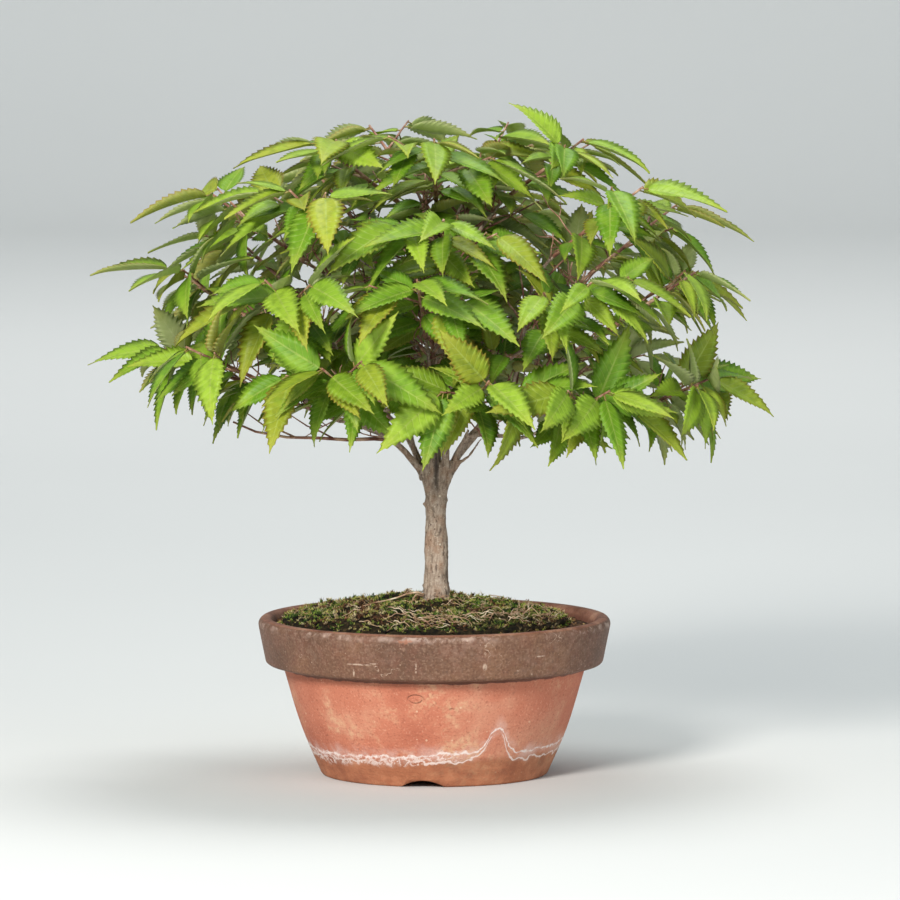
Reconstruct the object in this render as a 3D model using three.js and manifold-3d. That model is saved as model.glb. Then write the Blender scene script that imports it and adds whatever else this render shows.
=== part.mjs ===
// Zelkova bonsai in broom style, in its round two-tone clay pot.
// Millimetres, +Z up. The origin is on the pot's axis, on the surface that the pot stands on.

import * as THREE from 'three';
import { mergeVertices } from 'three/addons/utils/BufferGeometryUtils.js';
import Module from 'manifold-3d';

const wasm = await Module();
wasm.setup();

// Driving dimensions

const GAP = 0.3; // clearance between two pieces that touch
const UP = new THREE.Vector3(0, 0, 1);
const DEGREE = Math.PI / 180;

const POT = {
  facets: 24,
  height: 71,
  rimRadius: 79.3, // widest, just under the rounded lip
  lipWidth: 7,
  collarHeight: 20,
  collarFootRadius: 76,
  neckRadius: 68.1, // top of the bare body, tucked under the collar
  bellyRadius: 60.9,
  bellyHeight: 23,
  footRadius: 50.8,
  footWidth: 4.8,
  recess: 4, // hollow under the pot, inside the foot ring
  floor: 9, // top of the floor inside
  floorRadius: 49,
  drainRadius: 12.5,
};
const NOTCH = { count: 3, width: 20, height: 3.2, azimuth: -95.7 }; // cut-outs in the foot ring
const NET = { side: 36, thickness: 1.2, bar: 3, cells: 2 };
const SOIL = { facets: 16, edgeHeight: 66, crownHeight: 69.5 };
const MOSS = { facets: 18, crownHeight: 78.5, thin: 2.6, radius: 66.5, fall: 2.4 };

const TRUNK = {
  sides: 10,
  baseRadius: 6.3,
  offset: 0.8, // the trunk stands this much to the right of the pot's axis
  bottom: 60, // foot of the stub in the soil
  fork: 126,
  // Heights and radii: a flared foot, a bulge half way up, a slim waist and the swelling under the fork
  outline: [[60, 6.3], [82, 6.3], [88, 5.6], [102, 5.5], [112, 4.7], [121, 4.8], [129, 5.8]],
};
const LIMB = {
  count: 9, // limbs that rise from the fork, and the rest branch off them
  startBelow: 4, // under the fork's height, inside the bole
  startOut: 2.6,
  climbOut: 7, // a limb first climbs, and gains only this much width on its way
  forkRadius: 2.2,
  tipRadius: 1.15,
  rootRadius: 0.8,
};
const TWIG = { tipRadius: 0.9, rootRadius: 0.5, sideLength: 28, sideAngle: 50 };

// The crown is a rounded dome, and its half sizes reach the furthest leaf tips. Angles are in degrees.
const CROWN = {
  seed: 221,
  centre: new THREE.Vector3(1, 1, 150),
  half: new THREE.Vector3(150, 128, 150),
  power: 2.7,
  shortfall: 7, // most that a shoot may end short of its ring
  lean: 4, // the crown hangs this much lower at its right side and higher at its left
  leanAzimuth: -20,
  lift: 5, // and it is this much higher at its front and back
};
// Each ring's shoots rise at a slope of their own and end an inset inside the outline
const RINGS = [
  { count: 11, elevation: 17, start: 16, length: 50, rise: 24, inset: 23 },
  { count: 9, elevation: 33, start: -16, length: 50, rise: 34, inset: 16 },
  { count: 7, elevation: 47, start: 20, length: 50, rise: 36, inset: 9 },
  { count: 5, elevation: 65, start: 54, length: 46, rise: 36, inset: 4 },
  { count: 1, elevation: 78, start: -6, length: 40, rise: 68, inset: 6 },
];

// A leaf's pairs of values are the least and most that it may draw
const LEAF = {
  length: [26, 37],
  width: [0.39, 0.47], // as a share of its length
  arch: [0.05, 0.2],
  fold: [0.15, 0.5], // slope of each half, up from the midrib
  sideAngle: [40, 62], // from its twig
  endAngle: [-22, 22],
  droop: [0.2, 1],
  tilt: [-0.75, 0.75],
  stalk: 3,
  stalkHalf: 0.4,
  rootHalf: 0.3,
  thickness: 1.2, // at the midrib, thinning to the edge
  ribPlace: 0.44, // of the blade, where it is thickest
  guard: 0.45, // clearance kept round a leaf while it is placed
  guardFrom: 4.5,
};

// Materials

const surface = (color, roughness) => new THREE.MeshStandardMaterial({ color, roughness, metalness: 0 });
const clay = surface(0xb5622f, 0.85);
const plastic = surface(0x23272a, 0.55);
const earth = surface(0x4a3526, 0.95);
const mossGreen = surface(0x56682a, 0.95);
const bark = surface(0x8a705c, 0.8);
const leafGreen = surface(0x8bb43a, 0.5);

// From three.js geometry to a closed solid and back

function solidFrom(geometry) {
  const bare = new THREE.BufferGeometry();
  bare.setAttribute('position', geometry.getAttribute('position'));
  bare.setIndex(geometry.getIndex());
  const merged = mergeVertices(bare, 1e-4);
  const index = merged.getIndex().array;
  const kept = [];
  for (let i = 0; i < index.length; i += 3) {
    const [a, b, c] = [index[i], index[i + 1], index[i + 2]];
    if (a !== b && b !== c && c !== a) kept.push(a, b, c);
  }
  return new wasm.Manifold(new wasm.Mesh({
    numProp: 3,
    vertProperties: new Float32Array(merged.getAttribute('position').array),
    triVerts: new Uint32Array(kept),
  }));
}

function meshFrom(name, solid, material) {
  const { vertProperties, triVerts } = solid.getMesh();
  const geometry = new THREE.BufferGeometry();
  geometry.setAttribute('position', new THREE.BufferAttribute(vertProperties, 3));
  geometry.setIndex(new THREE.BufferAttribute(triVerts, 1));
  geometry.computeVertexNormals();
  const mesh = new THREE.Mesh(geometry, material);
  mesh.name = name;
  return mesh;
}

// A body of revolution about Z from a profile of [radius, height] pairs
function turned(profile, facets) {
  const points = profile.map(([radius, height]) => new THREE.Vector2(radius, height));
  return new THREE.LatheGeometry(points, facets).rotateX(Math.PI / 2);
}

// A round branch along a curve, whose radius follows radiusAt(0..1)
function branch(path, steps, sides, radiusAt) {
  const corners = [];
  for (let i = 0; i < sides; i += 1) {
    const angle = (i / sides) * 2 * Math.PI;
    corners.push(new THREE.Vector2(Math.cos(angle), Math.sin(angle)));
  }
  const geometry = new THREE.ExtrudeGeometry(new THREE.Shape(corners), { steps, extrudePath: path });
  const centres = path.getSpacedPoints(steps);
  const positions = geometry.getAttribute('position');
  const point = new THREE.Vector3();
  for (let i = 0; i < positions.count; i += 1) {
    point.fromBufferAttribute(positions, i);
    let nearest = 0;
    for (let k = 1; k <= steps; k += 1) {
      if (point.distanceTo(centres[k]) < point.distanceTo(centres[nearest])) nearest = k;
    }
    point.sub(centres[nearest]).multiplyScalar(radiusAt(nearest / steps)).add(centres[nearest]);
    positions.setXYZ(i, point.x, point.y, point.z);
  }
  return solidFrom(geometry);
}

// Random draws that come out the same on every run
function seededDraw(seed) {
  let state = seed;
  return (low, high) => {
    state = (state * 1664525 + 1013904223) % 4294967296;
    return low + (high - low) * (state / 4294967296);
  };
}

// Pot: a dark collar over a tapering wall, on a foot ring with three cut-outs

function makePot() {
  const { height, rimRadius, lipWidth, collarFootRadius, neckRadius, footRadius } = POT;
  const collarFoot = height - POT.collarHeight;
  const profile = [
    [POT.drainRadius, POT.recess],
    [footRadius - POT.footWidth - 1.5, POT.recess],
    [footRadius - POT.footWidth, 0],
    [footRadius, 0],
    [POT.bellyRadius, POT.bellyHeight],
    [neckRadius, collarFoot - 1.8],
    [collarFootRadius - 1, collarFoot - 0.9],
    [collarFootRadius, collarFoot],
    [rimRadius, height - 2.4],
    [rimRadius - 1.9, height],
    [rimRadius - lipWidth + 1.7, height],
    [rimRadius - lipWidth, height - 2],
    [POT.floorRadius, POT.floor],
    [POT.drainRadius, POT.floor],
    [POT.drainRadius, POT.recess],
  ];
  let pot = solidFrom(turned(profile, POT.facets));
  for (let i = 0; i < NOTCH.count; i += 1) {
    pot = pot.subtract(footNotch(NOTCH.azimuth + (i * 360) / NOTCH.count));
  }
  return pot;
}

function footNotch(azimuth) {
  const half = NOTCH.width / 2;
  const arch = new THREE.Shape();
  arch.moveTo(-half, -1);
  arch.lineTo(half, -1);
  arch.lineTo(half, 0);
  arch.quadraticCurveTo(0, 2 * NOTCH.height, -half, 0);
  const depth = POT.footWidth + 8;
  const cutter = new THREE.ExtrudeGeometry(arch, { depth, bevelEnabled: false, curveSegments: 6 });
  cutter.rotateX(Math.PI / 2);
  cutter.translate(0, -(POT.footRadius - POT.footWidth - 3), 0);
  cutter.rotateZ((azimuth + 90) * DEGREE);
  return solidFrom(cutter);
}

// Drain net: the plastic grid over the drain hole

function makeDrainNet() {
  const { side, bar, cells, thickness } = NET;
  const cell = (side - bar * (cells + 1)) / cells;
  let net = solidFrom(new THREE.BoxGeometry(side, side, thickness));
  for (let column = 0; column < cells; column += 1) {
    for (let row = 0; row < cells; row += 1) {
      const x = -side / 2 + bar + cell / 2 + column * (cell + bar);
      const y = -side / 2 + bar + cell / 2 + row * (cell + bar);
      const hole = new THREE.BoxGeometry(cell, cell, 3 * thickness).translate(x, y, 0);
      net = net.subtract(solidFrom(hole));
    }
  }
  return net.translate(0, 0, POT.floor + GAP + thickness / 2);
}

// Soil: fills the pot up to just under the rim, clear of its wall, floor and net

function wallRadius(height) {
  const share = (height - POT.floor) / (POT.height - 2 - POT.floor);
  return THREE.MathUtils.lerp(POT.floorRadius, POT.rimRadius - POT.lipWidth, share);
}

const potFacetShrink = Math.cos(Math.PI / POT.facets);
const soilRadius = (height) => wallRadius(height) * potFacetShrink - GAP;

function makeSoil() {
  const overNet = POT.floor + NET.thickness + 2 * GAP;
  const netRoom = NET.side * 0.5 * Math.SQRT2 + 1;
  const profile = [
    [0, overNet],
    [netRoom, overNet],
    [netRoom, POT.floor + GAP],
    [soilRadius(POT.floor + GAP), POT.floor + GAP],
    [soilRadius(SOIL.edgeHeight), SOIL.edgeHeight],
    [MOSS.radius * 0.5, soilHeight(MOSS.radius * 0.5)],
    [0, SOIL.crownHeight],
  ];
  return solidFrom(turned(profile, SOIL.facets)).subtract(trunkHole());
}

// The soil's surface falls gently from the trunk to the wall
function soilHeight(radius) {
  const edge = soilRadius(SOIL.edgeHeight);
  return THREE.MathUtils.lerp(SOIL.crownHeight, SOIL.edgeHeight, (radius / edge) ** 2);
}

// The plain hole that the trunk stands in
function trunkHole() {
  const radius = (TRUNK.baseRadius + GAP) / Math.cos(Math.PI / TRUNK.sides);
  const depth = MOSS.crownHeight + 10 - (TRUNK.bottom - GAP);
  const hole = new THREE.CylinderGeometry(radius, radius, depth, TRUNK.sides);
  hole.rotateX(Math.PI / 2);
  hole.translate(TRUNK.offset, 0, TRUNK.bottom - GAP + depth / 2);
  return solidFrom(hole);
}

// Moss: a cushioned carpet, close to the wall at the back and left, and lower at the right

function mossEdge(azimuth) {
  return 0.965 + 0.045 * Math.cos(azimuth - 150 * DEGREE) + 0.02 * Math.sin(3 * azimuth + 0.6);
}

function mossCushions(x, y) {
  return 1.3 * Math.sin(x / 6.1 + 0.7) * Math.cos(y / 7.3) + 0.8 * Math.sin(x / 11 - y / 9);
}

function makeMoss() {
  const rings = [
    { share: 0, rise: -1 },
    { share: 0.5, rise: -1 },
    { share: 0.97, rise: -1 },
    { share: 1, rise: 0.15 },
    { share: 0.92, rise: 0.5 },
    { share: 0.72, rise: 0.72 },
    { share: 0.48, rise: 0.87 },
    { share: 0.24, rise: 0.97 },
    { share: 0, rise: 1 },
  ];
  const profile = rings.map(({ share }, place) => [share * MOSS.radius, place]);
  const geometry = turned(profile, MOSS.facets);
  const positions = geometry.getAttribute('position');
  for (let i = 0; i < positions.count; i += 1) {
    const { rise } = rings[Math.round(positions.getZ(i))];
    const azimuth = Math.atan2(positions.getY(i), positions.getX(i));
    const x = positions.getX(i) * mossEdge(azimuth);
    const y = positions.getY(i) * mossEdge(azimuth);
    const ground = soilHeight(Math.hypot(x, y)) + GAP + 0.25;
    const cover = MOSS.thin + rise * (MOSS.crownHeight - SOIL.crownHeight - MOSS.thin);
    const fall = MOSS.fall * THREE.MathUtils.smoothstep(x, 5, 50);
    const height = rise < 0 ? ground : ground + cover + rise * (mossCushions(x, y) - fall);
    positions.setXYZ(i, x, y, height);
  }
  return solidFrom(geometry).subtract(trunkHole());
}

// Plan of the crown: where each shoot starts, ends and carries its leaves

function onSphere(azimuth, elevation) {
  const level = Math.cos(elevation * DEGREE);
  return new THREE.Vector3(
    level * Math.cos(azimuth * DEGREE),
    level * Math.sin(azimuth * DEGREE),
    Math.sin(elevation * DEGREE),
  );
}

// Distance from the crown's centre to its outline
function crownReach(direction) {
  const { half, power } = CROWN;
  const sum = Math.abs(direction.x / half.x) ** power
    + Math.abs(direction.y / half.y) ** power
    + Math.abs(direction.z / half.z) ** power;
  return sum ** (-1 / power);
}

// How much further up a shoot stands for the side of the crown that it is on
function sideLift(azimuth) {
  const lean = -CROWN.lean * Math.cos((azimuth - CROWN.leanAzimuth) * DEGREE);
  return lean + CROWN.lift * Math.sin(azimuth * DEGREE) ** 2;
}

function planShoots() {
  const draw = seededDraw(CROWN.seed);
  const shoots = [];
  for (const ring of RINGS) {
    for (let i = 0; i < ring.count; i += 1) {
      const azimuth = ring.start + (i * 360) / ring.count + draw(-6, 6);
      const lift = sideLift(azimuth) * Math.cos(ring.elevation * DEGREE);
      const outward = onSphere(azimuth, ring.elevation + draw(-4, 4) + lift);
      shoots.push(planShoot(ring, outward, ring.length * draw(0.9, 1.1), draw));
    }
  }
  return shoots;
}

function planShoot(ring, outward, length, draw) {
  const reach = crownReach(outward) - ring.inset - draw(0, CROWN.shortfall);
  const tip = CROWN.centre.clone().addScaledVector(outward, reach);
  const heading = new THREE.Vector3(outward.x, outward.y, 0).normalize();
  heading.multiplyScalar(Math.cos(ring.rise * DEGREE));
  heading.z = Math.sin(ring.rise * DEGREE);
  const base = tip.clone().addScaledVector(heading, -length);
  const main = new THREE.LineCurve3(base, tip);
  const side = draw(0, 1) < 0.5 ? 1 : -1;
  const forks = [
    planFork(main, 0.36, side, outward, draw),
    planFork(main, 0.6, -side, outward, draw),
  ];
  const leaves = [
    planLeaf(main, 0.3, -side, outward, draw),
    planLeaf(main, 0.72, side, outward, draw),
    planLeaf(main, 0.85, -side, outward, draw),
    planLeaf(main, 1, 0, outward, draw),
    planLeaf(forks[0], 0.55, -side, outward, draw),
    planLeaf(forks[0], 1, 0, outward, draw),
    planLeaf(forks[1], 0.55, side, outward, draw),
    planLeaf(forks[1], 1, 0, outward, draw),
  ];
  return { outward, base, main, forks, leaves };
}

// A side twig leaves the main one at an angle in the crown's skin
function planFork(main, place, side, outward, draw) {
  const start = main.getPoint(place);
  const forward = main.getTangent(place);
  const aside = new THREE.Vector3().crossVectors(outward, forward).normalize().multiplyScalar(side);
  const angle = (TWIG.sideAngle + draw(-6, 6)) * DEGREE;
  const length = TWIG.sideLength * draw(0.85, 1.15);
  const end = start.clone().addScaledVector(aside, length * Math.sin(angle));
  end.addScaledVector(forward, length * Math.cos(angle));
  end.addScaledVector(UP, draw(-3, 4));
  return new THREE.LineCurve3(start, end);
}

// side is 1 or -1 for a leaf at the twig's left or right, and 0 for the one at its end
function planLeaf(twig, place, side, outward, draw) {
  const forward = twig.getTangent(place);
  const root = twig.getPoint(place);
  if (side === 0) root.addScaledVector(forward, -1);
  const aside = new THREE.Vector3().crossVectors(outward, forward).normalize();
  const angle = (side === 0 ? draw(...LEAF.endAngle) : side * draw(...LEAF.sideAngle)) * DEGREE;
  const axis = forward.clone().multiplyScalar(Math.cos(angle));
  axis.addScaledVector(aside, Math.sin(angle));
  const level = (side === 0 ? 0.75 : 0.45) * outward.z; // brings the leaves on top down to the level
  axis.addScaledVector(UP, -draw(...LEAF.droop) * (1.1 - outward.z) - level).normalize();
  const normal = outward.clone().addScaledVector(UP, 0.6).addScaledVector(aside, draw(...LEAF.tilt));
  const length = draw(...LEAF.length) * (side === 0 ? 1.06 : 1);
  const halfWidth = 0.5 * length * draw(...LEAF.width);
  return { root, axis, normal, length, halfWidth, arch: draw(...LEAF.arch), fold: draw(...LEAF.fold) };
}

// Leaves: a toothed blade on a short stalk, folded along its midrib and arched

// One edge from stalk to tip, as pairs of place and share of the half width: a shoulder, then two teeth
const leafEdge = [[0.09, 0.56], [0.32, 1], [0.375, 0.87], [0.6, 0.82], [0.655, 0.65]];

// One of several ways to hold a leaf, and the first is as planned
const WAYS = 18;
function heldLeaf(leaf, way) {
  const swing = 13 * Math.ceil(way / 2) * (way % 2 === 0 ? 1 : -1) * DEGREE;
  const pitch = 11 * (((way * 7) % 5) - 2) * (way > 0 ? 1 : 0) * DEGREE;
  const roll = 14 * (((way * 3) % 5) - 2) * (way > 0 ? 1 : 0) * DEGREE;
  const normal = leaf.normal.clone().addScaledVector(leaf.axis, -leaf.normal.dot(leaf.axis)).normalize();
  const axis = leaf.axis.clone().applyAxisAngle(normal, swing);
  const across = new THREE.Vector3().crossVectors(axis, normal).normalize();
  axis.applyAxisAngle(across, pitch);
  normal.applyAxisAngle(across, pitch);
  normal.applyAxisAngle(axis, roll);
  across.crossVectors(axis, normal).normalize();
  return { ...leaf, axis, normal, across };
}

// A point of a held leaf: side and lift are in mm, and place runs from 0 at the stalk to 1 at the tip
function leafPoint(leaf, place, side, lift) {
  const along = LEAF.stalk + place * leaf.length;
  const sag = -leaf.arch * leaf.length * place * Math.abs(place);
  const point = leaf.root.clone().addScaledVector(leaf.axis, along);
  point.addScaledVector(leaf.across, side);
  return point.addScaledVector(leaf.normal, sag + leaf.fold * Math.abs(side) + lift);
}

// The solid of a held leaf, or with a margin the room that it keeps clear beyond its stalk
function leafSolid(leaf, margin = 0) {
  const half = LEAF.stalkHalf + margin;
  const lift = LEAF.thickness / 2 + margin;
  const points = [
    leafPoint(leaf, LEAF.ribPlace, 0, lift),
    leafPoint(leaf, LEAF.ribPlace, 0, -lift),
  ];
  const stalkEnds = margin > 0 ? [LEAF.guardFrom] : [0, LEAF.stalk + 0.4];
  for (const along of stalkEnds) {
    const place = (along - LEAF.stalk) / leaf.length;
    const width = along === 0 ? LEAF.rootHalf : half;
    points.push(leafPoint(leaf, place, width, 0.4 * width));
    points.push(leafPoint(leaf, place, -width, 0.4 * width));
    points.push(leafPoint(leaf, place, 0, -width));
  }
  const edge = (place, width, side) => {
    points.push(leafPoint(leaf, place, side * (width * leaf.halfWidth + margin), 0));
  };
  for (const [place, width] of leafEdge) edge(place, width, 1);
  points.push(leafPoint(leaf, 1 + margin / leaf.length, 0, 0));
  for (const [place, width] of [...leafEdge].reverse()) edge(place, width, -1);
  return solidFrom(closedBlade(points, stalkEnds.length));
}

// Points 0 and 1 are the midrib's top and bottom, then come the stalk's triangles, then the edge
function closedBlade(points, stalkTriangles) {
  const [top, bottom] = [0, 1];
  const cap = 2;
  const [right, left, keel] = [0, 1, 2].map((corner) => cap + 3 * (stalkTriangles - 1) + corner);
  const first = keel + 1;
  const last = points.length - 1;
  const index = [cap, cap + 1, cap + 2];
  for (let ring = 1; ring < stalkTriangles; ring += 1) {
    for (let corner = 0; corner < 3; corner += 1) {
      const a = cap + corner;
      const b = cap + ((corner + 1) % 3);
      index.push(b, a, b + 3, b + 3, a, a + 3);
    }
  }
  index.push(top, left, right, top, right, first, top, last, left);
  index.push(keel, first, right, keel, left, last);
  index.push(bottom, first, keel, bottom, keel, last);
  for (let i = first; i < last; i += 1) index.push(top, i, i + 1, bottom, i + 1, i);
  const geometry = new THREE.BufferGeometry().setFromPoints(points);
  geometry.setIndex(index);
  return geometry;
}

// Trunk with its limbs, as one piece of wood

function trunkRadius(height) {
  const next = Math.max(1, TRUNK.outline.findIndex(([level]) => level >= height));
  const [lowHeight, lowRadius] = TRUNK.outline[next - 1];
  const [highHeight, highRadius] = TRUNK.outline[next];
  return THREE.MathUtils.mapLinear(height, lowHeight, highHeight, lowRadius, highRadius);
}

function makeBole() {
  const top = TRUNK.fork + 3;
  const height = (share) => THREE.MathUtils.lerp(TRUNK.bottom, top, share);
  const path = new THREE.CatmullRomCurve3([
    new THREE.Vector3(TRUNK.offset, 0, TRUNK.bottom),
    new THREE.Vector3(TRUNK.offset, 0, 82),
    new THREE.Vector3(TRUNK.offset + 0.2, 0, 100),
    new THREE.Vector3(TRUNK.offset - 0.3, 0, 114),
    new THREE.Vector3(TRUNK.offset, 0, top),
  ]);
  return branch(path, 5, TRUNK.sides, (share) => trunkRadius(height(share)));
}

// The leaders are the shoots spread most evenly round the crown, and they rise from the fork itself
function chooseLeaders(shoots) {
  const leaders = [];
  for (let i = 0; i < LIMB.count; i += 1) {
    const elevation = i % 3 === 2 ? 62 : 26; // every third one goes up into the dome
    const wanted = onSphere((i * 360) / LIMB.count - 20, elevation);
    const free = shoots.filter((shoot) => !leaders.includes(shoot));
    free.sort((a, b) => b.outward.dot(wanted) - a.outward.dot(wanted));
    leaders.push(free[0]);
  }
  return leaders;
}

const ease = (share) => share ** 0.8;

function planLimbs(shoots) {
  const leaders = chooseLeaders(shoots);
  for (const shoot of leaders) {
    const level = new THREE.Vector3(shoot.outward.x, shoot.outward.y, 0);
    const start = new THREE.Vector3(TRUNK.offset, 0, TRUNK.fork - LIMB.startBelow);
    start.addScaledVector(level, LIMB.startOut);
    const climb = start.clone().addScaledVector(UP, 24 + 22 * shoot.outward.z);
    climb.addScaledVector(level, LIMB.climbOut);
    shoot.limb = limbTo(shoot, start, climb, 45);
    shoot.limbRadius = LIMB.forkRadius;
  }
  for (const shoot of shoots) {
    if (leaders.includes(shoot)) continue;
    const parent = leaders.reduce((best, other) => (
      other.outward.dot(shoot.outward) > best.outward.dot(shoot.outward) ? other : best));
    const apart = parent.outward.angleTo(shoot.outward) / DEGREE;
    const place = THREE.MathUtils.clamp(0.78 - apart / 80, 0.2, 0.66);
    const start = parent.limb.getPoint(place);
    const climb = start.clone().addScaledVector(parent.limb.getTangent(place), 14);
    shoot.limb = limbTo(shoot, start, climb, 24);
    shoot.limbRadius = 0.86 * THREE.MathUtils.lerp(LIMB.forkRadius, LIMB.tipRadius, ease(place));
  }
  return leaders;
}

// A limb ends square to its shoot, the gap short of it
function limbTo(shoot, start, climb, pull) {
  const heading = shoot.main.getTangent(0);
  const end = shoot.base.clone().addScaledVector(heading, -GAP);
  const approach = end.clone().addScaledVector(heading, -pull);
  return new THREE.CubicBezierCurve3(start, climb, approach, end);
}

// Crossing branches can seal a small hollow between them, and the outer shell alone fills it
function outerShell(solid) {
  return solid.decompose().reduce((most, shell) => (shell.volume() > most.volume() ? shell : most));
}

function makeTrunk(shoots, leaders) {
  const parts = [makeBole()];
  for (const shoot of shoots) {
    const taper = (share) => THREE.MathUtils.lerp(shoot.limbRadius, LIMB.tipRadius, ease(share));
    if (leaders.includes(shoot)) {
      parts.push(branch(shoot.limb, 5, 4, taper));
    } else {
      // A thin root keeps a branch's start inside the limb that it leaves
      parts.push(branch(shoot.limb, 3, 3, (share) => (share === 0 ? LIMB.rootRadius : taper(share))));
    }
  }
  return outerShell(wasm.Manifold.union(parts));
}

function makeTwigs(shoot) {
  const mainTaper = (share) => THREE.MathUtils.lerp(LIMB.tipRadius, TWIG.tipRadius, share);
  const sideTaper = (share) => (share === 0 ? TWIG.rootRadius : TWIG.tipRadius);
  const parts = [branch(shoot.main, 1, 3, mainTaper)];
  for (const fork of shoot.forks) parts.push(branch(fork, 1, 3, sideTaper));
  return wasm.Manifold.union(parts);
}

// Placing the leaves: each takes the first way to hold it that is clear of all that is there

function boxOf(solid) {
  const { min, max } = solid.boundingBox();
  return new THREE.Box3(new THREE.Vector3(...min), new THREE.Vector3(...max));
}

function isClear(guard, placed) {
  const box = boxOf(guard);
  for (const other of placed) {
    if (!box.intersectsBox(other.box)) continue;
    const shared = guard.intersect(other.solid);
    const touches = !shared.isEmpty();
    shared.delete();
    if (touches) return false;
  }
  return true;
}

function placeLeaves(shoots, trunk) {
  const placed = [{ solid: trunk, box: boxOf(trunk) }];
  const sprays = shoots.map((shoot) => [makeTwigs(shoot)]);
  for (const [twigs] of sprays) placed.push({ solid: twigs, box: boxOf(twigs) });
  const most = Math.max(...shoots.map((shoot) => shoot.leaves.length));
  for (let k = 0; k < most; k += 1) {
    shoots.forEach((shoot, i) => {
      const leaf = clearLeaf(shoot.leaves[k], placed);
      if (!leaf) return;
      sprays[i].push(leaf);
      placed.push({ solid: leaf, box: boxOf(leaf) });
    });
  }
  return sprays.map((parts) => wasm.Manifold.union(parts));
}

function clearLeaf(leaf, placed) {
  for (let way = 0; way < WAYS; way += 1) {
    const held = heldLeaf(leaf, way);
    const guard = leafSolid(held, LEAF.guard);
    const clear = isClear(guard, placed);
    guard.delete();
    if (clear) return leafSolid(held);
  }
  return null;
}

// The whole bonsai

const bonsai = new THREE.Group();
bonsai.name = 'zelkova_bonsai';
bonsai.add(meshFrom('pot', makePot(), clay));
bonsai.add(meshFrom('drain_net', makeDrainNet(), plastic));
bonsai.add(meshFrom('soil', makeSoil(), earth));
bonsai.add(meshFrom('moss', makeMoss(), mossGreen));

const shoots = planShoots();
const trunk = makeTrunk(shoots, planLimbs(shoots));
bonsai.add(meshFrom('trunk', trunk, bark));
placeLeaves(shoots, trunk).forEach((spray, i) => {
  bonsai.add(meshFrom(`spray_${String(i + 1).padStart(2, '0')}`, spray, leafGreen));
});

export default bonsai;
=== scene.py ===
# %% [markdown]
# A zelkova bonsai in broom style stands in a round clay pot. This lesson dresses it for a studio picture:
# the pot gets its fired colours and salt bloom, the soil its moss, and the crown its thin toothed leaves.
# The packed solids give every size and place, so they are loaded first.

# %% Load the frame
import math
from functools import partial, reduce

import bpy
import numpy as np
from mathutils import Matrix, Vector, noise
from mathutils.bvhtree import BVHTree
from mathutils.kdtree import KDTree


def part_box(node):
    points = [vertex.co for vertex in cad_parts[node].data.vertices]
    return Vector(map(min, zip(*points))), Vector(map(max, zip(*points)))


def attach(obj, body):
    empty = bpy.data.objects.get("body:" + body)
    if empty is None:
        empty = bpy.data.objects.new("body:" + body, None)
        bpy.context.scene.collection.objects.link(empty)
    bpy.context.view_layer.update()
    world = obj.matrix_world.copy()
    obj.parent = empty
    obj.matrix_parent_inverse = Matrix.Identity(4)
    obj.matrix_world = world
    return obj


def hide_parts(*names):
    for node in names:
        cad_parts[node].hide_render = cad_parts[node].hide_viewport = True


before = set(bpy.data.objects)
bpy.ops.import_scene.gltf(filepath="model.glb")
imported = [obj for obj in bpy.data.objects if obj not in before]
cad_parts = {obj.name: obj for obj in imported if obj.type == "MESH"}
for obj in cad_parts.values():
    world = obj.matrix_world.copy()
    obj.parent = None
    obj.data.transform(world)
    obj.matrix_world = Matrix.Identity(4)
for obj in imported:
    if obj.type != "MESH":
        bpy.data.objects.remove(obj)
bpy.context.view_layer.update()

# %% [markdown]
# The camera comes first, because it decides how large everything reads. The tree was seen from a long
# way off through a long lens, a little from above, so its pot shows only a thin ellipse of moss. A long
# lens also keeps near and far leaves at nearly the same size. The picture's scale sets the focal length.

# %% Place the camera
MM = 0.001
picture_width_px = 900
px_per_mm = 2.226
camera_distance_mm = 3500.0
camera_rise_mm = 318.0
aim_mm = Vector((7.0, 0.0, 146.0))
sensor_width_mm = 36.0
furthest_seen_m = 20.0

camera_data = bpy.data.cameras.new("portrait_lens")
camera = bpy.data.objects.new("portrait_camera", camera_data)
bpy.context.scene.collection.objects.link(camera)
camera.location = (aim_mm + Vector((0.0, -camera_distance_mm, camera_rise_mm))) * MM
sight_line = aim_mm * MM - camera.location
camera.rotation_mode = "QUATERNION"
camera.rotation_quaternion = sight_line.to_track_quat("-Z", "Y")
camera_data.sensor_width = sensor_width_mm
camera_data.lens = px_per_mm * sight_line.length / MM / picture_width_px * sensor_width_mm
camera_data.clip_end = furthest_seen_m
bpy.context.scene.camera = camera
print("focal length in mm:", round(camera_data.lens, 1))

# %% [markdown]
# Studio light for a plant is broad and soft: one big panel above and in front makes the leaves glow and
# leaves only faint shadows, and a weaker one fills the other side. A third hangs overhead. A fourth looks
# away from the plant and lights the backdrop alone. The room's own light is a plain pale world colour.

# %% Light the stage
def linear(red, green, blue):
    """A colour picked on screen, 0 to 255, as the light values that shaders work with."""
    channels = []
    for value in (red, green, blue):
        share = value / 255
        channels.append(share / 12.92 if share <= 0.04045 else ((share + 0.055) / 1.055) ** 2.4)
    return (*channels, 1.0)


def soft_panel(name, place, aim, width, watts, colour):
    panel_data = bpy.data.lights.new(name, "AREA")
    panel_data.shape = "DISK"
    panel_data.size = width
    panel_data.energy = watts
    panel_data.color = colour
    panel = bpy.data.objects.new(name, panel_data)
    panel.location = place
    panel.rotation_mode = "QUATERNION"
    panel.rotation_quaternion = (Vector(aim) - Vector(place)).to_track_quat("-Z", "Y")
    bpy.context.scene.collection.objects.link(panel)


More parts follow.
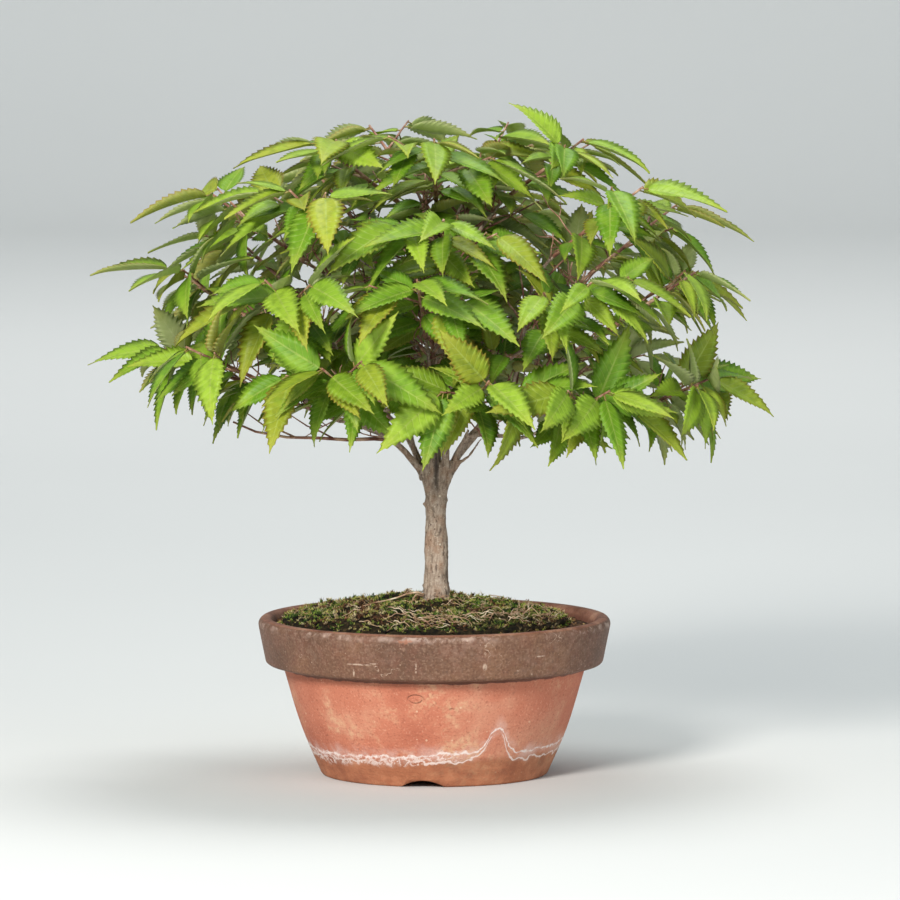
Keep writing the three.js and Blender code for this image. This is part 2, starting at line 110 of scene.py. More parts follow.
crown_middle = (0.0, 0.0, 0.17)
backdrop_middle = (0.0, 4.8, 0.5)
panels = [
    # name, place, aim and width in metres, watts, colour
    ("key_panel", (-0.75, -1.75, 1.05), crown_middle, 0.55, 51.0, (1.0, 0.985, 0.95)),
    ("fill_panel", (1.6, -1.3, 0.6), crown_middle, 1.4, 11.0, (0.97, 0.985, 1.0)),
    ("top_panel", (0.2, 0.5, 1.7), crown_middle, 0.9, 17.0, (0.99, 1.0, 1.0)),
    ("backdrop_panel", (0.0, 1.9, 2.4), backdrop_middle, 1.6, 55.0, (1.0, 1.0, 1.0)),
]
for panel in panels:
    soft_panel(*panel)

room_colour = linear(206, 228, 240)
room_strength = 0.42
world = bpy.data.worlds.new("studio_air")
world.use_nodes = True
world.node_tree.nodes["Background"].inputs["Color"].default_value = room_colour
world.node_tree.nodes["Background"].inputs["Strength"].default_value = room_strength
bpy.context.scene.world = world
bpy.context.scene.view_settings.view_transform = "Standard"
print("lights:", [light.name for light in bpy.data.lights])

# %% [markdown]
# Meshes are made from lists of points and faces, because leaves, moss and pot walls all follow formulas.
# One helper turns such lists into an object, and another puts many small shapes into one list. The last
# sets a piece on the part's single body and hides the solids that it stands in for.

# %% Helpers that make pieces
ROOT = "root"


def make_object(name, points_mm, faces, materials, face_material=None, smooth=True):
    mesh = bpy.data.meshes.new(name)
    points = np.asarray(points_mm, dtype=float) * MM
    mesh.from_pydata(points.tolist(), [], [tuple(face) for face in faces])
    for material in materials:
        mesh.materials.append(material)
    if face_material is not None:
        mesh.polygons.foreach_set("material_index", np.asarray(face_material, dtype=np.int32))
    mesh.polygons.foreach_set("use_smooth", [smooth] * len(mesh.polygons))
    mesh.update()
    made = bpy.data.objects.new(name, mesh)
    bpy.context.scene.collection.objects.link(made)
    return made


def joined(shapes):
    """The points and faces of several shapes as one list of each."""
    points, faces = [], []
    for own_points, own_faces in shapes:
        first = len(points)
        points.extend(own_points)
        faces.extend(tuple(first + i for i in face) for face in own_faces)
    return points, faces


def add_number(piece, name, values):
    """One number for each point of a piece, that its material can read by name."""
    layer = piece.data.attributes.new(name, "FLOAT", "POINT")
    layer.data.foreach_set("value", np.asarray(values, dtype=np.float32))


def triangles_of(piece):
    return sum(len(face.vertices) - 2 for face in piece.data.polygons)


def finish_piece(piece, slot, *nodes):
    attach(piece, ROOT)
    if nodes:
        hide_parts(*nodes)
    print(piece.name, "has", triangles_of(piece), "triangles")


# %% [markdown]
# A finish is a graph of nodes. Written out link by link such a graph is hard to read, so a recipe adds
# its nodes by short names: a product, a sum, a soft step from one value to another, a blend of two
# colours. A product, a sum and a largest take any number of values and join them two by two. Three plain
# numbers on a colour socket are a colour picked on screen.

# %% Helpers that join nodes
class Recipe:
    """The nodes of one material, added one after another."""

    def __init__(self, name):
        self.material = bpy.data.materials.new(name)
        self.material.use_nodes = True
        self.tree = self.material.node_tree
        self.shader = self.tree.nodes["Principled BSDF"]
        self.output = self.tree.nodes["Material Output"]

    def feed(self, socket, value):
        if isinstance(value, bpy.types.NodeSocket):
            self.tree.links.new(value, socket)
        elif socket.type == "RGBA":
            socket.default_value = linear(*value)
        elif value is not None:
            socket.default_value = value

    def node(self, kind, settings, inputs):
        made = self.tree.nodes.new(kind)
        for key, value in settings.items():
            setattr(made, key, value)
        for key, value in inputs.items():
            self.feed(made.inputs[key], value)
        return made

    def math(self, operation, first, second=None):
        inputs = {0: first, 1: second}
        return self.node("ShaderNodeMath", {"operation": operation}, inputs).outputs[0]

    def times(self, *values):
        return reduce(partial(self.math, "MULTIPLY"), values)

    def plus(self, *values):
        return reduce(partial(self.math, "ADD"), values)

    def minus(self, first, second):
        return self.math("SUBTRACT", first, second)

    def largest(self, *values):
        return reduce(partial(self.math, "MAXIMUM"), values)

    def size(self, value):
        return self.math("ABSOLUTE", value)

    def band(self, value, low, high, to_low=0.0, to_high=1.0):
        """Rises smoothly from to_low to to_high while value goes from low to high."""
        inputs = {"Value": value, "From Min": low, "From Max": high, "To Min": to_low, "To Max": to_high}
        return self.node("ShaderNodeMapRange", {"interpolation_type": "SMOOTHSTEP"}, inputs).outputs[0]

    def blend(self, share, first, second):
        inputs = {0: share, 6: first, 7: second}
        return self.node("ShaderNodeMix", {"data_type": "RGBA"}, inputs).outputs[2]

    def ramp(self, value, stops, softness):
        """Turns a value from 0 to 1 into a colour, through stops of a position and a colour each."""
        made = self.node("ShaderNodeValToRGB", {}, {0: value})
        made.color_ramp.interpolation = softness
        elements = made.color_ramp.elements
        while len(elements) < len(stops):
            elements.new(1.0)
        for element, (position, colour) in zip(elements, stops):
            element.position = position
            element.color = colour
        return made.outputs[0]

    def shades(self, value, stops):
        return self.ramp(value, [(position, linear(*colour)) for position, colour in stops], "EASE")


print("a recipe can:", ", ".join(name for name in vars(Recipe) if not name.startswith("_")))

# %% [markdown]
# No real surface has one even colour. Its clouds, specks and hair lines come from noise of several
# sizes, read at the place of each point on the piece, so the marks stay where they are from every side.
# The same noises lift the surface a little, and then light finds the grain as well.

# %% Helpers that make marks
class Finish(Recipe):
    """A recipe that also knows noises and marks, and fills the shader's sockets."""

    def place(self):
        return self.node("ShaderNodeTexCoord", {}, {}).outputs["Object"]

    def number(self, name):
        return self.node("ShaderNodeAttribute", {"attribute_name": name}, {}).outputs["Fac"]

    def split(self, vector):
        return self.node("ShaderNodeSeparateXYZ", {}, {0: vector}).outputs

    def stretch(self, vector, scale):
        return self.node("ShaderNodeMapping", {}, {"Vector": vector, "Scale": scale}).outputs[0]

    def mottle(self, scale, detail=4.0, vector=None, roughness=0.55):
        """Cloudy noise: at a scale of 100 its clouds are about 10 mm wide."""
        inputs = {"Scale": scale, "Detail": detail, "Roughness": roughness}
        inputs["Vector"] = vector if vector is not None else self.place()
        return self.node("ShaderNodeTexNoise", {}, inputs).outputs[0]

    def stain(self, colour, tint, cloud, low, high, share):
        """Lays a tint over a colour as a value goes from low to high, up to a given share."""
        return self.blend(self.band(cloud, low, high, 0.0, share), colour, tint)

    def distance(self, centre_mm, squeeze=(1, 1, 1)):
        """How far a point is from a given spot in mm, after squeezing space along the axes."""
        centre = [value * MM for value in centre_mm]
        scale = [value / MM for value in squeeze]
        offset = self.node("ShaderNodeVectorMath", {"operation": "SUBTRACT"}, {0: self.place(), 1: centre})
        scaled = self.node("ShaderNodeVectorMath", {"operation": "MULTIPLY"},
                           {0: offset.outputs[0], 1: scale})
        length = self.node("ShaderNodeVectorMath", {"operation": "LENGTH"}, {0: scaled.outputs[0]})
        return length.outputs["Value"]

    def threads(self, scale, width, detail):
        """Thin winding lines, where a noise passes through its middle value."""
        return self.band(self.size(self.minus(self.mottle(scale, detail), 0.5)), width, width * 0.3)

    def dots(self, scale, size, share, strength):
        """Round specks: one in each cell of a random pattern, of which only a share is kept."""
        cells = self.node("ShaderNodeTexVoronoi", {}, {"Vector": self.place(), "Scale": scale})
        chosen = self.split(cells.outputs["Color"])[0]
        dot = self.band(cells.outputs["Distance"], size, size * 0.6)
        return self.times(dot, self.band(chosen, share, share - 0.02), strength)

    def relief(self, height, depth_mm, strength=1.0):
        inputs = {"Height": height, "Distance": depth_mm * MM, "Strength": strength}
        self.feed(self.shader.inputs["Normal"], self.node("ShaderNodeBump", {}, inputs).outputs[0])

    def finish(self, colour, roughness, specular):
        self.feed(self.shader.inputs["Base Color"], colour)
        self.feed(self.shader.inputs["Roughness"], roughness)
        self.shader.inputs["Specular IOR Level"].default_value = specular
        return self.material


print("a finish also can:", ", ".join(word for word in vars(Finish) if word[0] != "_"))

# %% [markdown]
# The floor and the backdrop are one sheet that curves up behind, as in a photographer's cove, so no edge
# shows. It is so large that a camera can walk all the way round the pot at the portrait's distance and
# still stand on it. It isn't part of the tree.

# %% Lay the floor and backdrop
COVE_HALF_WIDTH = 12000.0
COVE_FRONT = -12000.0
COVE_BACK = 3900.0
COVE_BEND = 900.0
COVE_HEIGHT = 3400.0
COVE_STEPS = 12


def make_cove():
    """A pale sheet that lies flat under the pot and bends up smoothly well behind it."""
    profile = [(COVE_FRONT, 0.0), (COVE_BACK, 0.0)]
    for step in range(1, COVE_STEPS + 1):
        angle = step / COVE_STEPS * math.pi / 2
        profile.append((COVE_BACK + COVE_BEND * math.sin(angle), COVE_BEND * (1 - math.cos(angle))))
    profile.append((COVE_BACK + COVE_BEND, COVE_HEIGHT))
    points = [(side * COVE_HALF_WIDTH, y, z) for y, z in profile for side in (-1, 1)]
    faces = [(2 * i, 2 * i + 1, 2 * i + 3, 2 * i + 2) for i in range(len(profile) - 1)]
    paper = Finish("studio_paper")
    tint = paper.blend(paper.mottle(1.5, 2.0), (210, 209, 206), (214, 213, 210))
    return make_object("studio_cove", points, faces, [paper.finish(tint, 0.9, 0.1)])


cove = make_cove()
print("the cove is", tuple(round(side, 2) for side in cove.dimensions), "m")

# %% [markdown]
# The pot is thrown on a wheel: a tapering wall on a foot ring, and a thick collar with a rounded lip. A
# turned outline is the right tool for it. The outline is closed: it runs under the floor, up the outside,
# over the lip and down the inside. Each corner is softened by a small curve, as fingers and wear leave it.

# %% Draw the pot's outline
POT_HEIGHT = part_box("pot")[1].z / MM
RIM_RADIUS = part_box("pot")[1].x / MM
COLLAR_FOOT = POT_HEIGHT - 20.0
LIP_INNER = RIM_RADIUS - 7.0
FLOOR = 9.0
FLOOR_RADIUS = 49.0
FOOT_RADIUS = 50.8
FOOT_WIDTH = 4.8
NECK_RADIUS = 68.1
DRAIN_RADIUS = 12.5
ARC_POINTS = 6
MOST_OF_A_SIDE = 0.48

pot_corners = [
    # radius, height, and how far back the corner is rounded, in mm
    (DRAIN_RADIUS, 4.0, 0.6),
    (44.5, 4.0, 1.2),
    (FOOT_RADIUS - FOOT_WIDTH, 0.0, 1.0),
    (FOOT_RADIUS, 0.0, 1.3),
    (60.9, 23.0, 14.0),
    (NECK_RADIUS + 0.2, COLLAR_FOOT - 1.9, 0.7),
    (RIM_RADIUS - 4.3, COLLAR_FOOT - 0.9, 0.7),
    (RIM_RADIUS - 3.3, COLLAR_FOOT, 0.7),
    (RIM_RADIUS, POT_HEIGHT - 2.4, 1.4),
    (RIM_RADIUS - 1.7, POT_HEIGHT, 1.5),
    (LIP_INNER + 1.6, POT_HEIGHT - 0.1, 1.6),
    (LIP_INNER, POT_HEIGHT - 2.2, 1.6),
    (FLOOR_RADIUS, FLOOR, 3.0),
    (DRAIN_RADIUS, FLOOR, 0.6),
]


def softened(corners):
    """Follows a closed outline and bends round each corner on a short curve."""
    outline = []
    for i, (radius, height, back) in enumerate(corners):
        corner = np.array([radius, height])
        before = np.array(corners[i - 1][:2])
        after = np.array(corners[(i + 1) % len(corners)][:2])
        start = corner + (before - corner) * min(back / np.linalg.norm(before - corner), MOST_OF_A_SIDE)
        end = corner + (after - corner) * min(back / np.linalg.norm(after - corner), MOST_OF_A_SIDE)
        for t in np.linspace(0, 1, ARC_POINTS):
            outline.append((1 - t) ** 2 * start + 2 * t * (1 - t) * corner + t * t * end)
    return outline


def finer(outline, longest):
    """Adds points so that no stretch of a closed outline is longer than given."""
    made = []
    for i, point in enumerate(outline):
        following = outline[(i + 1) % len(outline)]
        count = max(1, math.ceil(np.linalg.norm(following - point) / longest))
        made.extend(point + (following - point) * step / count for step in range(count))
    return made


pot_outline = finer(softened(pot_corners), longest=3.2)
print("the pot's outline has", len(pot_outline), "points")

# %% [markdown]
# Turning copies the outline round the axis. A wall thrown by hand is never quite round, so a slow noise
# pushes it in and out by a few tenths of a millimetre.

# %% Turn the pot
WOBBLES_ROUND = 2.2
WOBBLE_HEIGHT = 26.0
WOBBLE_FROM_RADIUS = 40.0


def turn(outline, segments, uneven=0.0):
    """A closed outline of (radius, height) points turned about the pot's axis."""
    points = []
    for step in range(segments):
        azimuth = 2 * math.pi * step / segments
        across, along = math.cos(azimuth), math.sin(azimuth)
        for radius, height in outline:
            spot = Vector((WOBBLES_ROUND * across, WOBBLES_ROUND * along, height / WOBBLE_HEIGHT))
            far = radius + uneven * noise.noise(spot) * min(1.0, radius / WOBBLE_FROM_RADIUS)
            points.append((far * across, far * along, height))
    count = len(outline)
    faces = []
    for step in range(segments):
        here, there = step * count, (step + 1) % segments * count
        for i in range(count):
            j = (i + 1) % count
            faces.append((here + i, there + i, there + j, here + j))
    return points, faces


pot_points, pot_faces = turn(pot_outline, segments=160, uneven=0.3)
pot = make_object("clay_pot", pot_points, pot_faces, [])
print("the pot is", round(POT_HEIGHT, 1), "mm high and", round(2 * RIM_RADIUS, 1), "mm wide")

# %% [markdown]
# The foot ring has three arched cut-outs, so that water can run away. A potter cuts them out of the soft
# clay, and a boolean does the same here: an arch is pushed through the ring at each place and taken away.

# %% Cut the notches in the foot
NOTCH_WIDTH = 20.0
NOTCH_HEIGHT = 3.2
NOTCH_AZIMUTHS = [-95.7, 24.3, 144.3]
ARCH_STEPS = 16
CUT_BELOW = -2.0
CUT_INSIDE = 3.0
CUT_OUTSIDE = 5.0


def notch_cutter(azimuth):
    arch = [(-NOTCH_WIDTH / 2, CUT_BELOW), (NOTCH_WIDTH / 2, CUT_BELOW)]
    for step in range(ARCH_STEPS + 1):
        t = step / ARCH_STEPS
        arch.append((NOTCH_WIDTH / 2 * (1 - 2 * t), 4 * t * (1 - t) * NOTCH_HEIGHT))
    angle = math.radians(azimuth)
    out = np.array([math.cos(angle), math.sin(angle), 0.0])
    aside = np.array([-out[1], out[0], 0.0])
    points = []
    for reach in (FOOT_RADIUS - FOOT_WIDTH - CUT_INSIDE, FOOT_RADIUS + CUT_OUTSIDE):
        points.extend(out * reach + aside * side + np.array([0, 0, height]) for side, height in arch)
    count = len(arch)
    faces = [tuple(range(count))[::-1], tuple(range(count, 2 * count))]
    faces += [(i, (i + 1) % count, count + (i + 1) % count, count + i) for i in range(count)]
    return make_object("notch_cutter", points, faces, [], smooth=False)


def applied(piece):
    """Bakes a piece's modifiers into its mesh."""
    graph = bpy.context.evaluated_depsgraph_get()
    baked = bpy.data.meshes.new_from_object(piece.evaluated_get(graph))
    old = piece.data
    piece.modifiers.clear()
    piece.data = baked
    bpy.data.meshes.remove(old)
    baked.polygons.foreach_set("use_smooth", [True] * len(baked.polygons))


for azimuth in NOTCH_AZIMUTHS:
    cutter = notch_cutter(azimuth)
    cut = pot.modifiers.new("notch", "BOOLEAN")
    cut.operation = "DIFFERENCE"
    cut.solver = "EXACT"
    cut.object = cutter
    applied(pot)
    bpy.data.objects.remove(cutter)
print("the pot has", len(NOTCH_AZIMUTHS), "notches and", triangles_of(pot), "triangles")

# %% [markdown]
# The body is bare orange clay with paler, sandier clouds, small pits and specks. Below the salt line it
# stands damp, and there it is ochre. All of the pot is painted by height and by the angle round the axis,
# so the marks sit at true places on the wall and hold from every side.

# %% Colour the bare clay
SALMON = [(0.34, (176, 102, 78)), (0.5, (191, 117, 91)), (0.64, (200, 135, 108))]
OCHRE = [(0.36, (131, 80, 51)), (0.52, (156, 100, 66)), (0.66, (175, 117, 81))]
SAND = (212, 170, 134)
CLAY_PIT, CLAY_GRAIN = (142, 80, 62), (228, 172, 144)
PALE_SPECK, DARK_SPECK = (226, 190, 160), (138, 76, 56)
DAMP_HEIGHT = 14.5


def make_bare_clay(clay, height, tide, grain):
    body = clay.shades(clay.mottle(24.0, 3.0), SALMON)
    sandy = clay.times(clay.band(clay.mottle(48.0, 5.0, None, 0.65), 0.48, 0.66),
                       clay.band(clay.mottle(420.0, 4.0), 0.4, 0.6), 0.65)
    body = clay.blend(sandy, body, SAND)
    body = clay.stain(body, CLAY_PIT, grain, 0.55, 0.7, 0.5)
    body = clay.stain(body, CLAY_GRAIN, grain, 0.43, 0.3, 0.35)
    body = clay.blend(clay.dots(260.0, 0.16, 0.14, 0.6), body, PALE_SPECK)
    body = clay.blend(clay.dots(210.0, 0.14, 0.1, 0.55), body, DARK_SPECK)
    above_damp = clay.minus(height, clay.math("MINIMUM", tide, DAMP_HEIGHT))
    ochre = clay.blend(0.3, clay.shades(clay.mottle(130.0, 5.0), OCHRE), body)
    return clay.blend(clay.band(above_damp, -3.5, 0.5), ochre, body)


print("salmon clay in", len(SALMON), "shades, ochre in", len(OCHRE))

# %% [markdown]
# The collar was dipped and fired dark. It is speckled, rubbed paler towards its upper edge, and crossed
# by a few scrapes of things that it has met on a bench. Each scrape is a spot squeezed into a line, and a
# fine noise breaks it up, so that it doesn't look drawn.

# %% Colour the dipped collar
DIP = [(0.34, (97, 68, 51)), (0.52, (110, 77, 58)), (0.66, (123, 87, 64))]
DIP_CLOUD, DIP_PIT, DIP_GRAIN = (118, 74, 58), (78, 54, 43), (158, 126, 106)
DIP_SPECK, DIP_RUBBED, SCRAPED, WORN_EDGE = (190, 162, 140), (170, 140, 122), (192, 166, 146), (184, 158, 144)
scrapes = [
    # place in mm, and how much the distance from it counts along each axis
    ((-33.4, -70.4, 57.2), (0.15, 0.1, 2.4)), ((-26.5, -73.0, 57.9), (0.5, 0.1, 2.6)),
    ((-8.0, -77.0, 56.0), (2.6, 0.1, 0.3)), ((-35.5, -68.5, 53.6), (2.2, 0.1, 0.5)),
    ((22.4, -74.0, 56.6), (0.9, 0.1, 0.6)), ((46.0, -61.0, 60.0), (0.3, 0.3, 2.6)),
]


def make_scratches(clay):
    """The scrapes and a net of fine lines."""
    found = clay.times(clay.threads(70.0, 0.006, 3.0), clay.band(clay.mottle(60.0), 0.52, 0.6))
    for centre, squeeze in scrapes:
        found = clay.largest(found, clay.band(clay.distance(centre, squeeze), 1.2, 0.5))
    return clay.times(found, clay.band(clay.mottle(700.0, 4.0), 0.36, 0.55, 0.0, 0.8))


def make_worn_edge(clay, height):
    """Pale chips in a narrow belt under the lip."""
    edge = clay.plus(height, clay.band(clay.mottle(70.0, 4.0), 0.3, 0.7, -0.6, 0.6))
    return clay.times(clay.band(edge, POT_HEIGHT - 4.4, POT_HEIGHT - 1.8),
                      clay.band(edge, POT_HEIGHT - 0.7, POT_HEIGHT - 1.3),
                      clay.band(clay.mottle(210.0, 5.0, None, 0.7), 0.44, 0.62),
                      clay.band(clay.mottle(26.0, 3.0), 0.42, 0.58, 0.12, 0.75))


def make_dipped_clay(clay, height, grain):
    dip = clay.shades(clay.mottle(34.0, 5.0), DIP)
    dip = clay.stain(dip, DIP_CLOUD, clay.mottle(160.0, 5.0), 0.42, 0.66, 0.4)
    dip = clay.stain(dip, DIP_PIT, grain, 0.52, 0.66, 0.5)
    dip = clay.stain(dip, DIP_GRAIN, grain, 0.47, 0.34, 0.4)
    dip = clay.blend(clay.dots(330.0, 0.13, 0.2, 0.6), dip, DIP_SPECK)
    rubbed = clay.times(clay.band(clay.mottle(380.0, 4.0), 0.42, 0.62),
                        clay.band(clay.mottle(46.0, 5.0), 0.42, 0.68, 0.05, 0.34),
                        clay.band(height, COLLAR_FOOT, POT_HEIGHT - 4.0, 0.5, 0.75))
    dip = clay.blend(rubbed, dip, DIP_RUBBED)
    dip = clay.blend(make_scratches(clay), dip, SCRAPED)
    return clay.blend(make_worn_edge(clay, height), dip, WORN_EDGE)


print("the collar has", len(scrapes), "scrapes")

# %% [markdown]
# On the lip the dip has worn through to redder clay. Down the inner side it is painted darker, as the shade
# inside the rim. A mask of height and radius keeps it to the top and the inside. One chip at the front left
# shows the same red clay.

# %% Colour the lip and the chip
LIP_CLAY = [(0.35, (118, 74, 56)), (0.5, (146, 98, 78)), (0.66, (172, 126, 102))]
LIP_PIT, LIP_INSIDE_SHADE, CHIP_CLAY = (88, 53, 42), (92, 52, 40), (158, 103, 78)
chip_place = (-13.0, -78.2, 68.2)
chip_squeeze = (0.45, 1, 1.5)


def make_collar(clay, height, radius, grain):
    lip = clay.shades(clay.mottle(90.0, 5.0), LIP_CLAY)
    lip = clay.stain(lip, LIP_PIT, grain, 0.54, 0.68, 0.45)
    # painted shade: the lip's clay darkens down the inner side of the rim
    lip = clay.stain(lip, LIP_INSIDE_SHADE, height, POT_HEIGHT - 2.0, POT_HEIGHT - 4.5, 0.7)
    on_top = clay.times(clay.band(height, POT_HEIGHT - 1.5, POT_HEIGHT - 0.6),
                        clay.band(radius, RIM_RADIUS - 0.9, RIM_RADIUS - 1.8))
    on_lip = clay.largest(on_top, clay.band(radius, LIP_INNER + 2.6, LIP_INNER + 1.2))
    collar = clay.blend(clay.times(on_lip, 0.92), make_dipped_clay(clay, height, grain), lip)
    ragged = clay.plus(clay.distance(chip_place, chip_squeeze),
                       clay.band(clay.mottle(420.0, 4.0), 0.3, 0.7, -1.0, 1.0))
    return clay.stain(collar, CHIP_CLAY, ragged, 2.0, 0.9, 0.7)


print("the lip starts", round(RIM_RADIUS - LIP_INNER, 1), "mm inside the rim")

# %% [markdown]
# Water seeps through the wall and leaves its salts where it dries: a wavy white tide line near the foot,
# with one steep peak at the front right. The line's height is a list of marks round the pot, read by a
# colour ramp from the angle. Round the line lie a second thread, a lace of crystals and a faint haze.

# %% Draw the salt line
TALLEST_TIDE = 40.0
tide_marks = [
    # azimuth in degrees, height in mm
    (-180, 14.5), (-171, 14.2), (-148, 12.8), (-128, 14.0), (-114, 13.8), (-99, 14.9), (-87, 15.6),
    (-78, 15.9), (-70, 16.8), (-67.5, 19.5), (-65.8, 23.8), (-63.2, 27.2), (-61.2, 28), (-58.8, 24.4),
    (-56, 18.4), (-51, 15), (-40, 15.2), (-18, 15.8), (0, 16.5), (35, 11), (70, 16), (110, 12), (150, 17),
]


def grey(value):
    return (value, value, value, 1.0)


def make_tide_height(clay, turn_share):
    stops = [((azimuth + 180) / 360, grey(height / TALLEST_TIDE)) for azimuth, height in tide_marks]
    stops.append((1.0, stops[0][1]))
    line = clay.times(clay.ramp(turn_share, stops, "LINEAR"), TALLEST_TIDE)
    return clay.plus(line, clay.band(clay.mottle(170.0, 4.0), 0.25, 0.75, -1.1, 1.1))


def make_salt(clay, above, turn_share):
    """A crisp white thread, a second one under it, and a lace of crystals where it dried slowest."""
    crust = clay.mottle(520.0, 5.0)
    thread = clay.times(clay.band(clay.size(above), 0.75, 0.2), clay.band(crust, 0.36, 0.56, 0.45, 1.0))
    wander = clay.band(clay.mottle(60.0, 3.0), 0.3, 0.7, 1.6, 4.6)
    lower = clay.times(clay.band(clay.size(clay.plus(above, wander)), 0.7, 0.2, 0.0, 0.8),
                       clay.band(clay.mottle(45.0), 0.42, 0.5))
    crystals = clay.largest(clay.threads(260.0, 0.05, 4.0), clay.band(crust, 0.52, 0.64))
    near_line = clay.times(clay.band(above, -5.2, -3.0), clay.band(above, 1.6, 0.2))
    slow_side = clay.largest(clay.band(turn_share, 0.3, 0.26), clay.band(turn_share, 0.4, 0.46, 0.0, 0.5))
    lace = clay.times(crystals, near_line, slow_side, 0.75)
    haze = clay.times(clay.band(above, 6.0, 0.0, 0.0, 0.34), clay.band(above, -6.0, -1.0),
                      clay.band(clay.mottle(110.0, 6.0, None, 0.65), 0.4, 0.64))
    return clay.largest(clay.times(clay.largest(thread, lower, lace), 0.92), haze)


print("the salt line follows", len(tide_marks), "marks")

# %% [markdown]
# Before the pot was fired, a thumb pressed an oval into its wall and something left two small dents. They
# are relief, like the grain and the faint rings that fingers leave on the wheel. Body, salt and collar
# are then put together. The collar's foot is a slightly ragged edge, where the dip ran to.

# %% Fire the clay
SALT_WHITE = (234, 220, 213)


def make_finger_marks(clay):
    oval = clay.distance((-8.3, -66.4, 41.0), (1, 1, 1.7))
    ring = clay.band(clay.size(clay.minus(oval, 3.4)), 1.0, 0.0, 0.0, -1.6)
    first = clay.band(clay.distance((7.8, -64.6, 36.5), (1, 1, 1.5)), 1.5, 0.2, 0.0, -1.4)
    second = clay.band(clay.distance((35.2, -57.2, 43.0), (1, 1, 1.2)), 1.6, 0.2, 0.0, 1.2)
    return clay.plus(ring, first, second)


def make_clay():
    clay = Finish("fired_clay")
    place = clay.place()
    x, y, z = clay.split(place)
    height = clay.times(z, 1 / MM)
    radius = clay.times(clay.math("SQRT", clay.plus(clay.times(x, x), clay.times(y, y))), 1 / MM)
    turn_share = clay.plus(clay.math("DIVIDE", clay.math("ARCTAN2", y, x), 2 * math.pi), 0.5)
    grain = clay.mottle(1000.0, 4.0)
    tide = make_tide_height(clay, turn_share)
    body = make_bare_clay(clay, height, tide, grain)
    body = clay.blend(make_salt(clay, clay.minus(height, tide), turn_share), body, SALT_WHITE)
    ragged = clay.plus(height, clay.band(clay.mottle(150.0), 0.3, 0.7, -0.35, 0.35))
    is_collar = clay.band(ragged, COLLAR_FOOT - 3.2, COLLAR_FOOT - 2.7)
    colour = clay.blend(is_collar, body, make_collar(clay, height, radius, grain))
    rings = clay.mottle(12.0, 2.0, clay.stretch(place, (0.4, 0.4, 26.0)))
    bumps = clay.plus(clay.times(grain, 0.7), clay.mottle(300.0, 4.0), clay.times(rings, 0.8))
    clay.relief(clay.plus(bumps, make_finger_marks(clay)), 0.4, 0.85)
    return clay.finish(colour, clay.band(is_collar, 0.0, 1.0, 0.85, 0.62), 0.35)


pot.data.materials.append(make_clay())
finish_piece(pot, "terracotta", "pot")

# %% [markdown]
# A plastic net lies over the drain hole so that the soil stays in. It can be seen only from below, but
# it is there. The packed net keeps its shape and gets the dull dark finish of moulded plastic.

# %% Finish the drain net
def make_net_plastic():
    plastic = Finish("net_plastic")
    tint = plastic.blend(plastic.mottle(700.0), (34, 38, 42), (52, 56, 60))
    plastic.relief(plastic.mottle(1500.0, 2.0), 0.05)
    return plastic.finish(tint, 0.5, 0.5)


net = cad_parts["drain_net"]
net.data.materials.clear()
net.data.materials.append(make_net_plastic())
print("net:", [material.name for material in net.data.materials])

# %% [markdown]
# The soil is a filling of baked grains, damp and dark, which shows in a strip between moss and wall. Its
# body is turned like the pot, to fit the wall, and its top is roughened by two noises, a fine and a coarse
# one. It keeps 0.3 mm clear of the clay, as the packed solid does.

# %% Fill the pot with soil
SOIL_EDGE_HEIGHT = 66.0
SOIL_CROWN_HEIGHT = 69.5
TRUNK_HOLE = 6.6
CLEAR = 0.3
ROUGH_DEPTH = 0.55


def wall_radius(height):
    share = (height - FLOOR) / (POT_HEIGHT - 2.0 - FLOOR)
    return FLOOR_RADIUS + (LIP_INNER - FLOOR_RADIUS) * share


soil_edge = wall_radius(SOIL_EDGE_HEIGHT) - CLEAR


def soil_height(radius):
    share = (radius / soil_edge) ** 2
    return SOIL_CROWN_HEIGHT + (SOIL_EDGE_HEIGHT - SOIL_CROWN_HEIGHT) * share


def make_soil_body():
    outline = [(radius, soil_height(radius)) for radius in np.linspace(TRUNK_HOLE, soil_edge, 34)]
    outline += [(wall_radius(height) - CLEAR, height) for height in np.linspace(60.0, FLOOR + 0.5, 8)]
    outline += [(30.0, FLOOR + 0.5), (27.0, 11.0), (TRUNK_HOLE, 11.0)]
    points, faces = turn([np.array(point) for point in outline][::-1], segments=120)
    moved = []
    for x, y, z in points:
        rough = noise.noise(Vector((x / 1.7, y / 1.7, 3.0))) + 0.6 * noise.noise(Vector((x / 5, y / 5, 9.0)))
        moved.append((x, y, z + (ROUGH_DEPTH * rough if z > 60.5 else 0.0)))
    return moved, faces


def make_earth():
    earth = Finish("damp_soil")
    tint = earth.shades(earth.mottle(520.0, 5.0),
                        [(0.3, (40, 28, 20)), (0.5, (78, 54, 38)), (0.68, (120, 90, 62))])
    tint = earth.stain(tint, (58, 52, 28), earth.mottle(60.0), 0.5, 0.7, 0.4)
    earth.relief(earth.mottle(700.0, 6.0), 0.5)
    return earth.finish(tint, 0.9, 0.25)


soil = make_object("soil_bed", *make_soil_body(), [make_earth()])
finish_piece(soil, "bonsai_soil", "soil")

# %% [markdown]
# On the bed lie loose grains. They are real small stones, because at this scale a bump map alone would
# look like paint. Each starts as an icosahedron, twelve corners and twenty faces, and its corners are then
# pushed about at random. The draws are seeded, so each run of the script gives the same stones.

